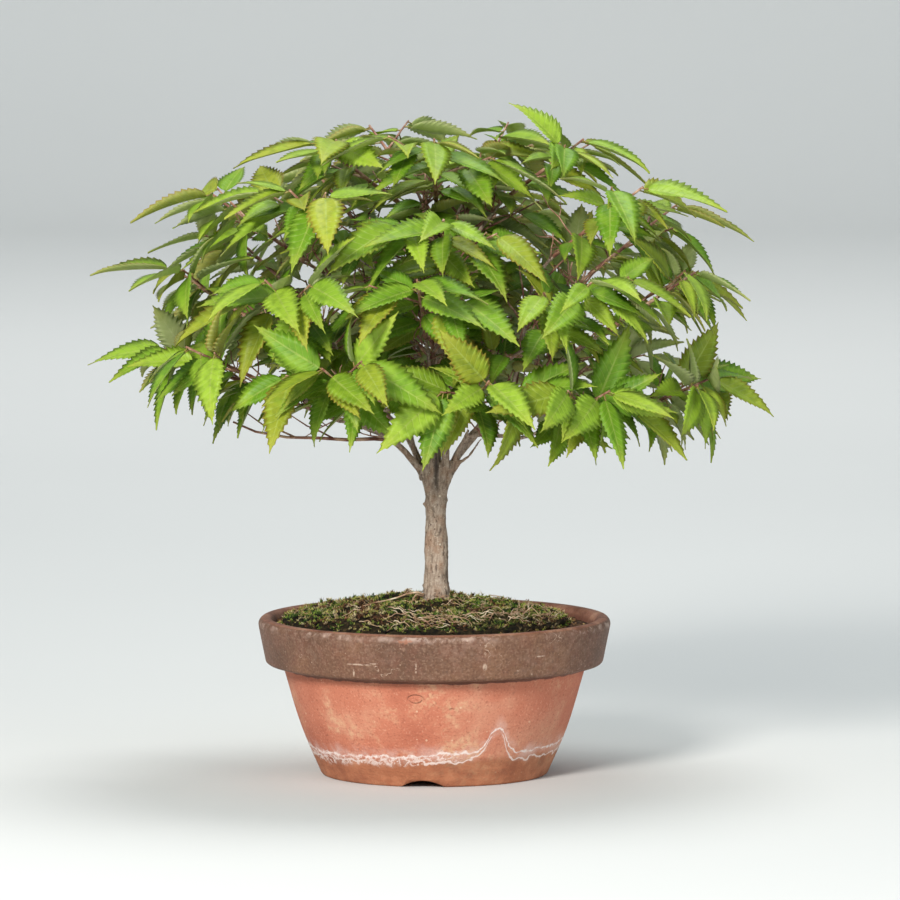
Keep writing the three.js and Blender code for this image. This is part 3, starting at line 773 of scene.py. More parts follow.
# %% Scatter the grains
rng = np.random.default_rng(11)
grain_count = 1000
GRAINS_FROM_RADIUS = 48.0
GOLDEN = (1 + math.sqrt(5)) / 2
stone_corners = np.array([
    (-1, GOLDEN, 0), (1, GOLDEN, 0), (-1, -GOLDEN, 0), (1, -GOLDEN, 0),
    (0, -1, GOLDEN), (0, 1, GOLDEN), (0, -1, -GOLDEN), (0, 1, -GOLDEN),
    (GOLDEN, 0, -1), (GOLDEN, 0, 1), (-GOLDEN, 0, -1), (-GOLDEN, 0, 1)]) / math.hypot(1, GOLDEN)
stone_faces = np.array([
    (0, 11, 5), (0, 5, 1), (0, 1, 7), (0, 7, 10), (0, 10, 11), (1, 5, 9), (5, 11, 4), (11, 10, 2),
    (10, 7, 6), (7, 1, 8), (3, 9, 4), (3, 4, 2), (3, 2, 6), (3, 6, 8), (3, 8, 9), (4, 9, 5),
    (2, 4, 11), (6, 2, 10), (8, 6, 7), (9, 8, 1)])


def scatter_stones(spots, sizes):
    """A small lopsided stone at each spot, and the number of its own that tints it."""
    corners = len(stone_corners)
    points, faces, tones = [], [], []
    for spot, size in zip(spots, sizes):
        shape = stone_corners * rng.uniform(0.72, 1.25, (corners, 1)) * rng.uniform(0.7, 1.2, 3)
        points.append(shape * size + spot)
        faces.append(stone_faces + corners * len(faces))
        tones.append(np.full(corners, rng.uniform(0, 1)))
    return np.concatenate(points), np.concatenate(faces), np.concatenate(tones)


def make_stone():
    stone = Finish("soil_grains")
    tint = stone.shades(stone.number("tone"),
                        [(0.0, (46, 34, 26)), (0.35, (92, 64, 44)), (0.7, (132, 100, 66)),
                         (1.0, (176, 150, 104))])
    tint = stone.stain(tint, (60, 44, 32), stone.mottle(1200.0), 0.4, 0.7, 0.5)
    stone.relief(stone.mottle(1800.0, 4.0), 0.2)
    return stone.finish(tint, 0.85, 0.3)


grain_reach = np.sqrt(rng.uniform(GRAINS_FROM_RADIUS ** 2, (soil_edge - 0.6) ** 2, grain_count))
grain_azimuth = rng.uniform(-math.pi, math.pi, grain_count)
grain_spots = np.column_stack([grain_reach * np.cos(grain_azimuth), grain_reach * np.sin(grain_azimuth),
                               soil_height(grain_reach) + 0.25])
stone_points, stone_tris, stone_tones = scatter_stones(grain_spots, rng.uniform(0.35, 1.0, grain_count))
grains = make_object("soil_stones", stone_points, stone_tris, [make_stone()], smooth=False)
add_number(grains, "tone", stone_tones)
finish_piece(grains, "bonsai_soil")

# %% [markdown]
# Moss grows in low cushions. The carpet under the sprigs gives the cushions their height: it follows the
# soil's dome, rises to the middle and thins to its edge, as the packed moss does. It falls a little to
# the right and reaches further to the left, where it has crept up to the wall.

# %% Plan the moss's edge and height
MOSS_RADIUS = 66.5
MOSS_CROWN = 78.5
MOSS_THIN = 2.6
MOSS_FALL = 2.4
MOSS_ABOVE_SOIL = 0.55
moss_shares = [0.0, 0.24, 0.48, 0.72, 0.92, 1.0]
moss_rises = [1.0, 0.97, 0.87, 0.72, 0.5, 0.15]


def moss_edge(azimuth):
    lean = 0.078 * np.cos(azimuth - math.radians(163))
    return np.minimum(MOSS_RADIUS * (0.965 + lean + 0.02 * np.sin(3 * azimuth + 0.6)), soil_edge - 1.6)


def moss_height(x, y):
    share = np.hypot(x, y) / moss_edge(np.arctan2(y, x))
    rise = np.interp(share, moss_shares, moss_rises)
    cushions = 1.3 * np.sin(x / 6.1 + 0.7) * np.cos(y / 7.3) + 0.8 * np.sin(x / 11 - y / 9)
    right = np.clip((x - 5) / 45, 0, 1)
    fall = MOSS_FALL * right * right * (3 - 2 * right)
    cover = MOSS_THIN + rise * (MOSS_CROWN - SOIL_CROWN_HEIGHT - MOSS_THIN)
    return soil_height(np.hypot(x, y)) + MOSS_ABOVE_SOIL + cover + rise * (cushions - fall)


def clump(x, y):
    """How far a clump of moss rises or sinks from the carpet's own height."""
    coarse = noise.noise(Vector((x / 4.6, y / 4.6, 5.0)))
    return 2.0 * coarse + 1.0 * noise.noise(Vector((x / 1.7, y / 1.7, 0.0)))


print("the moss reaches", round(float(moss_edge(math.pi)), 1), "mm to the left and",
      round(float(moss_edge(0.0)), 1), "mm to the right")

# %% [markdown]
# The carpet is a disc of rings and spokes with a hole for the trunk. Its top follows the cushions and
# a clumpy noise, and its edge is ragged. A lower ring at the edge and another round the trunk close it
# underneath, so that it is a solid body like everything else here.

# %% Lay the moss carpet
CARPET_RINGS, CARPET_SPOKES = 66, 190
CARPET_SUNK = 1.1
# the bed's darkest stops are painted shade between the sprigs, the others its peat brown
MOSS_PEAT_AND_SHADE = [(0.34, (12, 9, 5)), (0.52, (36, 29, 15)), (0.68, (74, 58, 36))]


def resting(ring, shrink=1.0):
    """A ring of points let down to just above the soil."""
    return [(x * shrink, y * shrink, soil_height(math.hypot(x, y)) + 0.2) for x, y, _ in ring]


def make_carpet():
    spokes = CARPET_SPOKES
    points, faces = [], []
    for ring in range(CARPET_RINGS):
        hole = TRUNK_HOLE / MOSS_RADIUS
        share = hole + (1 - hole) * ring / (CARPET_RINGS - 1)
        for spoke in range(spokes):
            azimuth = 2 * math.pi * spoke / spokes
            ragged = 1 + 0.03 * share * noise.noise(Vector((5 * math.cos(azimuth), 5 * math.sin(azimuth), 1)))
            reach = share * float(moss_edge(azimuth)) * ragged
            x, y = reach * math.cos(azimuth), reach * math.sin(azimuth)
            points.append((x, y, float(moss_height(x, y)) - CARPET_SUNK + clump(x, y)))
    points += resting(points[-spokes:], 0.985) + resting(points[:spokes])
    rings = [(ring, ring + 1) for ring in range(CARPET_RINGS + 1)] + [(CARPET_RINGS + 1, 0)]
    for inner, outer in rings:
        for spoke in range(spokes):
            following = (spoke + 1) % spokes
            faces.append((inner * spokes + spoke, outer * spokes + spoke,
                          outer * spokes + following, inner * spokes + following))
    return points, faces


def make_moss_bed():
    """Peat brown, painted near-black between the sprigs as shade, with old brown leaves of moss."""
    bed = Finish("moss_bed")
    tint = bed.shades(bed.mottle(420.0, 5.0), MOSS_PEAT_AND_SHADE)
    bed.relief(bed.mottle(1100.0, 5.0), 0.5)
    return bed.finish(tint, 0.9, 0.2)


carpet = make_object("moss_carpet", *make_carpet(), [make_moss_bed()])
finish_piece(carpet, "moss", "moss")

# %% [markdown]
# Sprigs stand on the carpet in little rosettes, each a few thin spikes of real mesh, since hair is lost
# when the model is exported. Each spike is a closed body of four faces. They are made all together as
# arrays of numbers, because thirty thousand of them would be slow one by one.

# %% Stand the sprigs on it
def spikes(roots, tips, widths):
    """Closed three-sided spikes, whose faces look outwards."""
    lift = tips - roots
    lift = lift / np.linalg.norm(lift, axis=1, keepdims=True)
    helper = np.where(np.abs(lift[:, 2:3]) > 0.9, [[1.0, 0.0, 0.0]], [[0.0, 0.0, 1.0]])
    side = np.cross(lift, helper)
    side = side / np.linalg.norm(side, axis=1, keepdims=True)
    front = np.cross(lift, side)
    corners = []
    for angle in (0.0, 2 * math.pi / 3, 4 * math.pi / 3):
        corners.append(roots + widths[:, None] * (math.cos(angle) * side + math.sin(angle) * front))
    points = np.stack([*corners, tips], axis=1).reshape(-1, 3)
    pattern = np.array([(0, 3, 1), (1, 3, 2), (2, 3, 0), (0, 1, 2)])
    faces = (np.arange(len(roots))[:, None, None] * 4 + pattern[None]).reshape(-1, 3)
    return points, faces


sprig_count = 4100
spikes_per_sprig = 8
sprig_share = np.sqrt(rng.uniform(0.012, 1.04, sprig_count))
sprig_azimuth = rng.uniform(-math.pi, math.pi, sprig_count)
sprig_reach = sprig_share * moss_edge(sprig_azimuth)
sprig_x = sprig_reach * np.cos(sprig_azimuth)
sprig_y = sprig_reach * np.sin(sprig_azimuth)
sprig_clump = np.array([clump(x, y) for x, y in zip(sprig_x, sprig_y)])
on_carpet = moss_height(sprig_x, sprig_y) - 1.3 + sprig_clump
bed = np.where(sprig_share < 0.99, on_carpet, soil_height(sprig_reach) + 0.6)
sprig_roots = np.column_stack([sprig_x, sprig_y, bed + rng.uniform(-0.3, 0.7, sprig_count)])
spike_roots = np.repeat(sprig_roots, spikes_per_sprig, axis=0)
spike_total = len(spike_roots)
spike_roots[:, :2] += rng.normal(0, 0.16, (spike_total, 2))
lean_azimuth = rng.uniform(-math.pi, math.pi, spike_total)
lean = np.tan(np.radians(rng.uniform(10, 80, spike_total)))
sprig_size = np.repeat(rng.uniform(0.7, 1.2, sprig_count), spikes_per_sprig)
spike_lengths = rng.uniform(1.0, 2.2, spike_total) * sprig_size
spike_ways = np.column_stack([lean * np.cos(lean_azimuth), lean * np.sin(lean_azimuth), np.ones(spike_total)])
spike_ways /= np.linalg.norm(spike_ways, axis=1, keepdims=True)
spike_tips = spike_roots + spike_ways * spike_lengths[:, None]
spike_points, spike_faces = spikes(spike_roots, spike_tips, rng.uniform(0.17, 0.3, spike_total))
print(spike_total, "spikes on", sprig_count, "sprigs")

# %% [markdown]
# Dry tips and fresh tips differ in colour from patch to patch, as moss does where it is drier. Each sprig
# carries a number that picks its colour, and a noise shifts it. A second number says how far up its
# spike a point lies, and the feet are painted nearly black with it, as the shade among the sprigs. The
# peaty side at the front right is found from the place.

# %% Colour the sprigs
MOSS_LEAF = [(0.0, (52, 86, 22)), (0.25, (98, 134, 36)), (0.45, (150, 172, 58)), (0.62, (206, 190, 106)),
             (0.78, (244, 224, 176)), (0.88, (190, 134, 86)), (1.0, (112, 70, 44))]
PEAT, SPRIG_FOOT_SHADE = (84, 60, 36), (14, 10, 5)


def make_moss_leaf():
    """Green, olive or straw from sprig to sprig, browner at the front right, and painted dark at the foot as
    shade.
    """
    moss = Finish("moss_leaf")
    shift = moss.band(moss.mottle(48.0, 4.0), 0.38, 0.64, -0.35, 0.5)
    tint = moss.shades(moss.plus(moss.number("tone"), shift), MOSS_LEAF)
    x, y, _ = moss.split(moss.place())
    peaty = moss.times(moss.band(x, 0.008, 0.03), moss.band(y, -0.005, -0.03),
                       moss.band(moss.mottle(70.0, 4.0), 0.36, 0.56, 0.15, 0.72))
    tint = moss.blend(peaty, tint, PEAT)
    # painted shade: each spike is darkened nearly to black at its foot
    tint = moss.stain(tint, SPRIG_FOOT_SHADE, moss.number("tip"), 0.95, 0.1, 0.97)
    return moss.finish(tint, 0.7, 0.3)


sprigs = make_object("moss_sprigs", spike_points, spike_faces, [make_moss_leaf()], smooth=False)
add_number(sprigs, "tone", np.repeat(rng.uniform(0, 1, sprig_count), spikes_per_sprig * 4))
add_number(sprigs, "tip", np.tile([0.0, 0.0, 0.0, 1.0], spike_total))
finish_piece(sprigs, "moss")

# %% [markdown]
# Now the tree. A zelkova trained as a broom has one straight trunk that splits at one height into many
# limbs, and they fan out into a round crown. The packed solids were grown from a short rule: rings of
# shoots over a dome, with seeded draws for the small differences. The same rule is repeated here, so that
# every fine twig and leaf lies exactly where its solid is.

# %% Plan the crown's outline by the same rule as the solids
UP = np.array([0.0, 0.0, 1.0])
CROWN_SEED = 221
CROWN_CENTRE = np.array([1.0, 1.0, 150.0])
CROWN_HALF = np.array([150.0, 128.0, 150.0])
CROWN_POWER = 2.7
SHORTFALL = 7.0
LEAN, LEAN_AZIMUTH, LIFT = 4.0, -20.0, 5.0
# Rings of shoots: how many, elevation, first azimuth, length, slope, and distance inside the outline
RINGS = [(11, 17, 16, 50, 24, 23), (9, 33, -16, 50, 34, 16), (7, 47, 20, 50, 36, 9), (5, 65, 54, 46, 36, 4),
         (1, 78, -6, 40, 68, 6)]
SIDE_LENGTH = 28.0
SIDE_ANGLE = 50.0
STALK = 3.0


def seeded_draw(seed):
    state = seed

    def draw(low, high):
        nonlocal state
        state = (state * 1664525 + 1013904223) % 4294967296
        return low + (high - low) * state / 4294967296

    return draw


def unit(vector):
    return vector / np.linalg.norm(vector)


def on_sphere(azimuth, elevation):
    azimuth, elevation = math.radians(azimuth), math.radians(elevation)
    level = math.cos(elevation)
    return np.array([level * math.cos(azimuth), level * math.sin(azimuth), math.sin(elevation)])


def crown_reach(direction):
    return float(np.sum(np.abs(direction / CROWN_HALF) ** CROWN_POWER)) ** (-1 / CROWN_POWER)


print("the crown reaches", round(crown_reach(on_sphere(0, 0))), "mm sideways")
print("and", round(crown_reach(UP)), "mm up")

# %% [markdown]
# Each shoot ends a little inside the outline. Two forks leave it on opposite sides, and eight leaves sit
# in fixed places along the three twigs. A leaf at a twig's end points along it, and the others stand off
# to the side. All droop more the lower they hang, because the sun reaches them from above.

# %% Plan a shoot and its leaves
def plan_leaf(twig, place, side, outward, draw):
    start, end = twig
    forward = unit(end - start)
    root = start + (end - start) * place - (forward if side == 0 else 0.0)
    aside = unit(np.cross(outward, forward))
    angle = math.radians(draw(-22, 22) if side == 0 else side * draw(40, 62))
    axis = forward * math.cos(angle) + aside * math.sin(angle)
    level = (0.75 if side == 0 else 0.45) * outward[2]
    axis = unit(axis - UP * (draw(0.2, 1.0) * (1.1 - outward[2]) + level))
    normal = outward + 0.6 * UP + aside * draw(-0.75, 0.75)
    length = draw(26, 37) * (1.06 if side == 0 else 1.0)
    half_width = 0.5 * length * draw(0.39, 0.47)
    return {"root": root, "axis": axis, "normal": normal, "length": length, "half_width": half_width,
            "arch": draw(0.05, 0.2), "fold": draw(0.15, 0.5)}


def plan_fork(main, place, side, outward, draw):
    start = main[0] + (main[1] - main[0]) * place
    forward = unit(main[1] - main[0])
    aside = unit(np.cross(outward, forward)) * side
    angle = math.radians(SIDE_ANGLE + draw(-6, 6))
    length = SIDE_LENGTH * draw(0.85, 1.15)
    end = start + aside * length * math.sin(angle) + forward * length * math.cos(angle)
    return start, end + UP * draw(-3, 4)


def plan_shoot(outward, length, slope, inset, draw):
    tip = CROWN_CENTRE + outward * (crown_reach(outward) - inset - draw(0, SHORTFALL))
    heading = unit(outward * np.array([1, 1, 0])) * math.cos(math.radians(slope))
    heading[2] = math.sin(math.radians(slope))
    main = (tip - heading * length, tip)
    side = 1 if draw(0, 1) < 0.5 else -1
    forks = [plan_fork(main, 0.36, side, outward, draw), plan_fork(main, 0.6, -side, outward, draw)]
    slots = [(main, 0.3, -side), (main, 0.72, side), (main, 0.85, -side), (main, 1, 0),
             (forks[0], 0.55, -side), (forks[0], 1, 0), (forks[1], 0.55, side), (forks[1], 1, 0)]
    leaves = [plan_leaf(twig, place, which, outward, draw) for twig, place, which in slots]
    return {"outward": outward, "main": main, "forks": forks, "leaves": leaves, "side": side}


sample_shoot = plan_shoot(on_sphere(0, 30), 50, 30, 10, seeded_draw(1))
print("one shoot carries", len(sample_shoot["leaves"]), "leaves in the plan")

# %% [markdown]
# The shoots stand in rings round the crown. Each ring has its own height, length and slope, and the
# whole crown leans a little, as a grown tree does.

# %% Set the rings of shoots
def side_lift(azimuth):
    """How much further up a shoot stands for the side of the crown that it is on."""
    lean = -LEAN * math.cos(math.radians(azimuth - LEAN_AZIMUTH))
    return lean + LIFT * math.sin(math.radians(azimuth)) ** 2


def plan_shoots():
    draw = seeded_draw(CROWN_SEED)
    shoots = []
    for count, ring_elevation, start, ring_length, slope, inset in RINGS:
        for i in range(count):
            azimuth = start + i * 360 / count + draw(-6, 6)
            lift = side_lift(azimuth) * math.cos(math.radians(ring_elevation))
            outward = on_sphere(azimuth, ring_elevation + draw(-4, 4) + lift)
            shoots.append(plan_shoot(outward, ring_length * draw(0.9, 1.1), slope, inset, draw))
    return shoots


shoots = plan_shoots()
print(len(shoots), "shoots with", sum(len(shoot["leaves"]) for shoot in shoots), "planned leaves")

# %% [markdown]
# The limbs leave the trunk at one height and climb before they spread. Each is a curve with four control
# points, as in the solids. They are planned here already, because leaves inside the crown hang from twigs
# that start on them.

# %% Plan a limb as a curve
GAP = 0.3
TRUNK_X = 0.8
FORK_HEIGHT = 126.0
TRUNK_BOTTOM = 60.0
LEADERS = 9
LIMB_START = 122.0
LIMB_START_OUT = 2.6
LIMB_CLIMB_OUT = 7.0
LIMB_FORK_RADIUS = 2.2
LIMB_TIP_RADIUS = 1.15


def bezier(controls, t):
    a, b, c, d = controls
    return (1 - t) ** 3 * a + 3 * (1 - t) ** 2 * t * b + 3 * (1 - t) * t * t * c + t ** 3 * d


def bezier_way(controls, t):
    a, b, c, d = controls
    return unit(3 * (1 - t) ** 2 * (b - a) + 6 * (1 - t) * t * (c - b) + 3 * t * t * (d - c))


def limb_to(shoot, start, climb, pull):
    base, tip = shoot["main"]
    heading = unit(tip - base)
    end = base - heading * GAP
    return start, climb, end - heading * pull, end


def limb_radius(start_radius, t):
    return start_radius + (LIMB_TIP_RADIUS - start_radius) * t ** 0.8


print("a limb thins from", LIMB_FORK_RADIUS, "to", LIMB_TIP_RADIUS, "mm in radius")

# %% [markdown]
# Nine leaders rise from the fork itself: six for the wide shoots and three for the high ones. Every other
# limb branches off the leader that points most nearly its way, the lower down the further apart they are.

# %% Lead the limbs to their shoots
LEADER_CLIMB, HIGH_LEADER_CLIMB, LEADER_PULL = 24, 22, 45
BRANCH_CLIMB, BRANCH_PULL, BRANCH_THINNER = 14, 24, 0.86


def closeness(shoot, other):
    return float(np.dot(shoot["outward"], other["outward"]))


def choose_leaders():
    leaders = []
    for i in range(LEADERS):
        wanted = on_sphere(i * 360 / LEADERS - 20, 62 if i % 3 == 2 else 26)
        free = [k for k in range(len(shoots)) if k not in leaders]
        leaders.append(max(free, key=lambda k: float(np.dot(shoots[k]["outward"], wanted))))
    return leaders


leaders = choose_leaders()
for k in leaders:
    shoot = shoots[k]
    level = shoot["outward"] * np.array([1, 1, 0])
    start = np.array([TRUNK_X, 0, LIMB_START]) + level * LIMB_START_OUT
    rise = LEADER_CLIMB + HIGH_LEADER_CLIMB * shoot["outward"][2]
    shoot["limb"] = limb_to(shoot, start, start + UP * rise + level * LIMB_CLIMB_OUT, LEADER_PULL)
    shoot["limb_radius"] = LIMB_FORK_RADIUS
for k, shoot in enumerate(shoots):
    if k in leaders:
        continue
    parent = max((shoots[i] for i in leaders), key=partial(closeness, shoot))
    apart = math.degrees(math.acos(min(1.0, closeness(shoot, parent))))
    place = min(0.66, max(0.2, 0.78 - apart / 80))
    start = bezier(parent["limb"], place)
    climb = start + bezier_way(parent["limb"], place) * BRANCH_CLIMB
    shoot["limb"] = limb_to(shoot, start, climb, BRANCH_PULL)
    shoot["limb_radius"] = BRANCH_THINNER * limb_radius(LIMB_FORK_RADIUS, place)
print("leaders:", leaders)

# %% [markdown]
# Each planned leaf may have been swung, tipped or rolled a little in the solids, so that no two leaves
# cross. Only its tip is needed to find out which way it is held: the way whose tip is a corner of the
# packed spray is the right one. A search tree over each spray's corners answers that in a moment.

# %% Find how each leaf is held
WAYS = 18
SAME_PLACE = 0.05


def rotated(vector, axis, angle):
    cosine, sine = math.cos(angle), math.sin(angle)
    return vector * cosine + np.cross(axis, vector) * sine + axis * np.dot(axis, vector) * (1 - cosine)


def held_leaf(leaf, way):
    swing = math.radians(13 * math.ceil(way / 2) * (1 if way % 2 == 0 else -1))
    pitch = math.radians(11 * ((way * 7) % 5 - 2) * (1 if way > 0 else 0))
    roll = math.radians(14 * ((way * 3) % 5 - 2) * (1 if way > 0 else 0))
    normal = unit(leaf["normal"] - leaf["axis"] * np.dot(leaf["normal"], leaf["axis"]))
    axis = rotated(leaf["axis"], normal, swing)
    across = unit(np.cross(axis, normal))
    axis, normal = rotated(axis, across, pitch), rotated(normal, across, pitch)
    normal = rotated(normal, axis, roll)
    return {**leaf, "axis": axis, "normal": normal, "across": unit(np.cross(axis, normal))}


def leaf_point(leaf, place, side, lift):
    sag = -leaf["arch"] * leaf["length"] * place * abs(place)
    point = leaf["root"] + leaf["axis"] * (STALK + place * leaf["length"]) + leaf["across"] * side
    return point + leaf["normal"] * (sag + leaf["fold"] * abs(side) + lift)


def corner_tree(node):
    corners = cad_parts[node].data.vertices
    tree = KDTree(len(corners))
    for corner in corners:
        tree.insert(corner.co, corner.index)
    tree.balance()
    return tree


def find_held(leaf, tree):
    for way in range(WAYS):
        held = held_leaf(leaf, way)
        if tree.find(leaf_point(held, 1, 0, 0) * MM)[2] < SAME_PLACE * MM:
            return held
    return None


for number, shoot in enumerate(shoots, start=1):
    tree = corner_tree(f"spray_{number:02d}")
    found = [find_held(leaf, tree) for leaf in shoot["leaves"]]
    shoot["held"] = [leaf for leaf in found if leaf is not None]
print("leaves found in the solids:", sum(len(shoot["held"]) for shoot in shoots))

# %% [markdown]
# The real crown has nearly four times as many leaves as the solids could carry. Some of the extra ones
# grow from the same twigs, between the planned ones, and the rest from bare-looking twigs deep in the
# crown. Those inner twigs start on the limbs and are kept only where they end inside the crown.

# %% Plan the twigs inside
INNER_TWIGS = 9
INNER_SEED = 59
LOWEST_INNER = 176
INNER_SHARE = 0.88


def crown_share(point):
    """0 in the middle of the crown and 1 on its outline."""
    away = point - CROWN_CENTRE
    return float(np.linalg.norm(away)) / crown_reach(unit(away))


def plan_inner_twigs():
    draw = seeded_draw(INNER_SEED)
    for shoot in shoots:
        shoot["inner"] = []
        for _ in range(INNER_TWIGS):
            place = draw(0.35, 0.98)
            start = bezier(shoot["limb"], place)
            aside = unit(np.array([draw(-1, 1), draw(-1, 1), draw(-0.1, 0.8)]))
            way = unit(bezier_way(shoot["limb"], place) * draw(0.3, 1.0) + aside)
            end = start + way * draw(13, 32)
            if end[2] > LOWEST_INNER and crown_share(end) < INNER_SHARE:
                shoot["inner"].append((start, end))


plan_inner_twigs()
print("twigs inside the crown:", sum(len(shoot["inner"]) for shoot in shoots))

# %% [markdown]
# Leaves share the light, so they don't cross. Before a leaf is added, a rough stand-in for its blade is
# tested for touch against the solids and against the leaves already there. A tree of boxes round the
# faces makes this test quick.

# %% Test a leaf for touch
LEAF_MARGIN = 0.5
proxy_places = [(0.06, 0.5), (0.34, 1.0), (0.62, 0.8), (0.85, 0.35)]


def blade_proxy(leaf):
    """A few faces that fill the room of a leaf beyond its stalk."""
    half, length = leaf["half_width"] + LEAF_MARGIN, leaf["length"]
    points = [leaf_point(leaf, 1 + LEAF_MARGIN / length, 0, 0)]
    for place, width in proxy_places:
        points.append(leaf_point(leaf, place, half * width, 0))
        points.append(leaf_point(leaf, place, 0, LEAF_MARGIN))
        points.append(leaf_point(leaf, place, -half * width, 0))
    faces = []
    for i in range(len(proxy_places) - 1):
        a, b = 1 + 3 * i, 4 + 3 * i
        faces += [(a, a + 1, b + 1, b), (a + 1, a + 2, b + 2, b + 1)]
    last = 1 + 3 * (len(proxy_places) - 1)
    faces += [(last, last + 1, 0), (last + 1, last + 2, 0)]
    return BVHTree.FromPolygons([Vector(point) for point in points], faces)


def solids_tree():
    sprays = [node.data for name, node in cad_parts.items() if name.startswith("spray")]
    return BVHTree.FromPolygons(*joined(
        ([vertex.co / MM for vertex in spray.vertices], [face.vertices for face in spray.polygons])
        for spray in sprays))


solids = solids_tree()
placed = []
print("touch test ready for", len(shoots), "sprays")

# %% [markdown]
# Each new leaf tries several ways to be held and keeps the first that touches nothing. If none is free,
# the leaf is left out, as a shaded bud stays shut. The places go round the crown turn by turn, so that
# no spray takes all the room. A few long leaves hang almost straight down at the lower front.

# %% Add the leaves between
NEAR_LEAVES = 72
LARGEST_EXTRA = 0.96


def slots_between(shoot):
    """Places for more leaves on the spray's own twigs."""
    main, forks, side = shoot["main"], shoot["forks"], shoot["side"]
    return [(main, 0.95, side), (forks[0], 0.82, side), (forks[1], 0.8, -side), (main, 0.58, -side),
            (forks[0], 0.3, side), (forks[1], 0.3, -side), (main, 0.46, side), (forks[0], 0.7, -side),
            (forks[1], 0.68, side), (main, 0.16, side), (main, 0.78, -side), (main, 0.2, -side)]


def slots_inside(shoot):
    """Places for leaves on the twigs inside the crown: one at each end, and some beside."""
    slots = [(twig, 1.0, 0) for twig in shoot["inner"]]
    return slots + [(twig, 0.65, 1 if i % 2 else -1) for i, twig in enumerate(shoot["inner"][:4])]


def settle(leaf, shoot):
    """Holds a leaf in the first way that touches nothing, or leaves it out."""
    for way in range(WAYS):
        held = held_leaf(leaf, way)
        room = blade_proxy(held)
        if room.overlap(solids):
            continue
        near = (other for root, other in placed if np.linalg.norm(held["root"] - root) < NEAR_LEAVES)
        if any(room.overlap(other) for other in near):
            continue
        placed.append((held["root"], room))
        shoot["held"].append(held)
        return


def place_more(slots_of, seed, smallest):
    """Puts a leaf into each slot where one can be held clear, and says how many it placed."""
    draw = seeded_draw(seed)
    first = len(placed)
    slots = [slots_of(shoot) for shoot in shoots]
    for turn_number in range(max(len(own) for own in slots)):
        for shoot, own in zip(shoots, slots):
            if turn_number >= len(own):
                continue
            twig, place, side = own[turn_number]
            leaf = plan_leaf(twig, place, side, unit(twig[1] - CROWN_CENTRE), draw)
            size = draw(smallest, LARGEST_EXTRA)
            leaf["length"] *= size
            leaf["half_width"] *= size
            settle(leaf, shoot)
    return len(placed) - first


def hang_leaves(numbers, seed):
    """A few long leaves that hang almost straight down from the lowest shoots at the front."""
    draw = seeded_draw(seed)
    first = len(placed)
    for number in numbers:
        shoot = shoots[number - 1]
        level_out = unit(shoot["outward"] * np.array([1, 1, 0]))
        aside = np.cross(UP, level_out)
        for start, end in (shoot["main"], *shoot["forks"]):
            length = draw(33, 40)
            settle({"root": start + (end - start) * 0.92,
                    "axis": unit(level_out * draw(0.1, 0.5) + aside * draw(-0.4, 0.4) - UP),
                    "normal": level_out + 0.25 * UP + aside * draw(-0.4, 0.4),
                    "length": length, "half_width": 0.5 * length * draw(0.4, 0.47),
                    "arch": draw(0.03, 0.12), "fold": draw(0.15, 0.35)}, shoot)
    return len(placed) - first


print("leaves added between:", place_more(slots_between, 77, 0.62))
print("leaves hung below:", hang_leaves((8, 9, 10, 11), 83))
print("leaves added inside:", place_more(slots_inside, 78, 0.55))
print("leaves in all:", sum(len(shoot["held"]) for shoot in shoots))

# %% [markdown]
# A zelkova leaf is egg-shaped with a drawn-out point and about ten forward teeth on each side. Each side
# vein runs from the midrib to the tip of one tooth, and the blade is pleated between the veins. So the
# leaf's mesh is a grid whose rows follow the veins: the teeth, the pleats and the veins all come from
# the same rows.

# %% Set the rows of a leaf
TEETH = 10
TEETH_FROM, TEETH_TO = 0.08, 0.9
TOOTH_POINT = 0.74
columns = np.array([-1.0, -0.5, 0.0, 0.5, 1.0])


def leaf_rows():
    """Places along the edge, and where in its tooth each lies: 0 in the notch and 1 at the point."""
    step = (TEETH_TO - TEETH_FROM) / TEETH
    places, phases = [0.0, 0.025, 0.05], [0.0, 0.0, 0.0]
    for tooth in range(TEETH):
        for share, phase in ((0.0, 0.0), (0.4, 0.5), (TOOTH_POINT, 1.0)):
            places.append(TEETH_FROM + step * (tooth + share))
            phases.append(phase)
    return np.array(places + [TEETH_TO, 0.945, 0.985]), np.array(phases + [0.0, 0.0, 0.0])


row_places, row_phases = leaf_rows()


def half_width_share(place):
    """The blade's width without its teeth: widest at a third, and long-pointed."""
    return 0.86 * (place / 0.3) ** 0.6 * ((1 - place) / 0.7) ** 1.4


row_widths = half_width_share(np.maximum(row_places, 1e-4))
teeth_sizes = np.interp(row_places, [0.05, 0.12, 0.3, 0.6, 0.9, 1.0], [0, 0.12, 0.2, 0.18, 0.07, 0])
row_teeth = row_phases * teeth_sizes
row_midrib = row_places - 0.18 * row_widths * np.minimum(1.0, row_places / 0.25)
pleat_depths = np.interp(row_places, [0.0, 0.08, 0.8, 1.0], [0.0, 0.1, 0.07, 0.0])
row_pleats = np.cos(row_phases * math.pi) * pleat_depths
print("rows:", len(row_places), "columns:", len(columns))

# %% [markdown]
# Upper and lower faces meet in a sharp edge, so each leaf is a thin closed body. The grid's faces are the
# same for all leaves, so they are listed once: upper ones, lower ones wound the other way, and the ends.

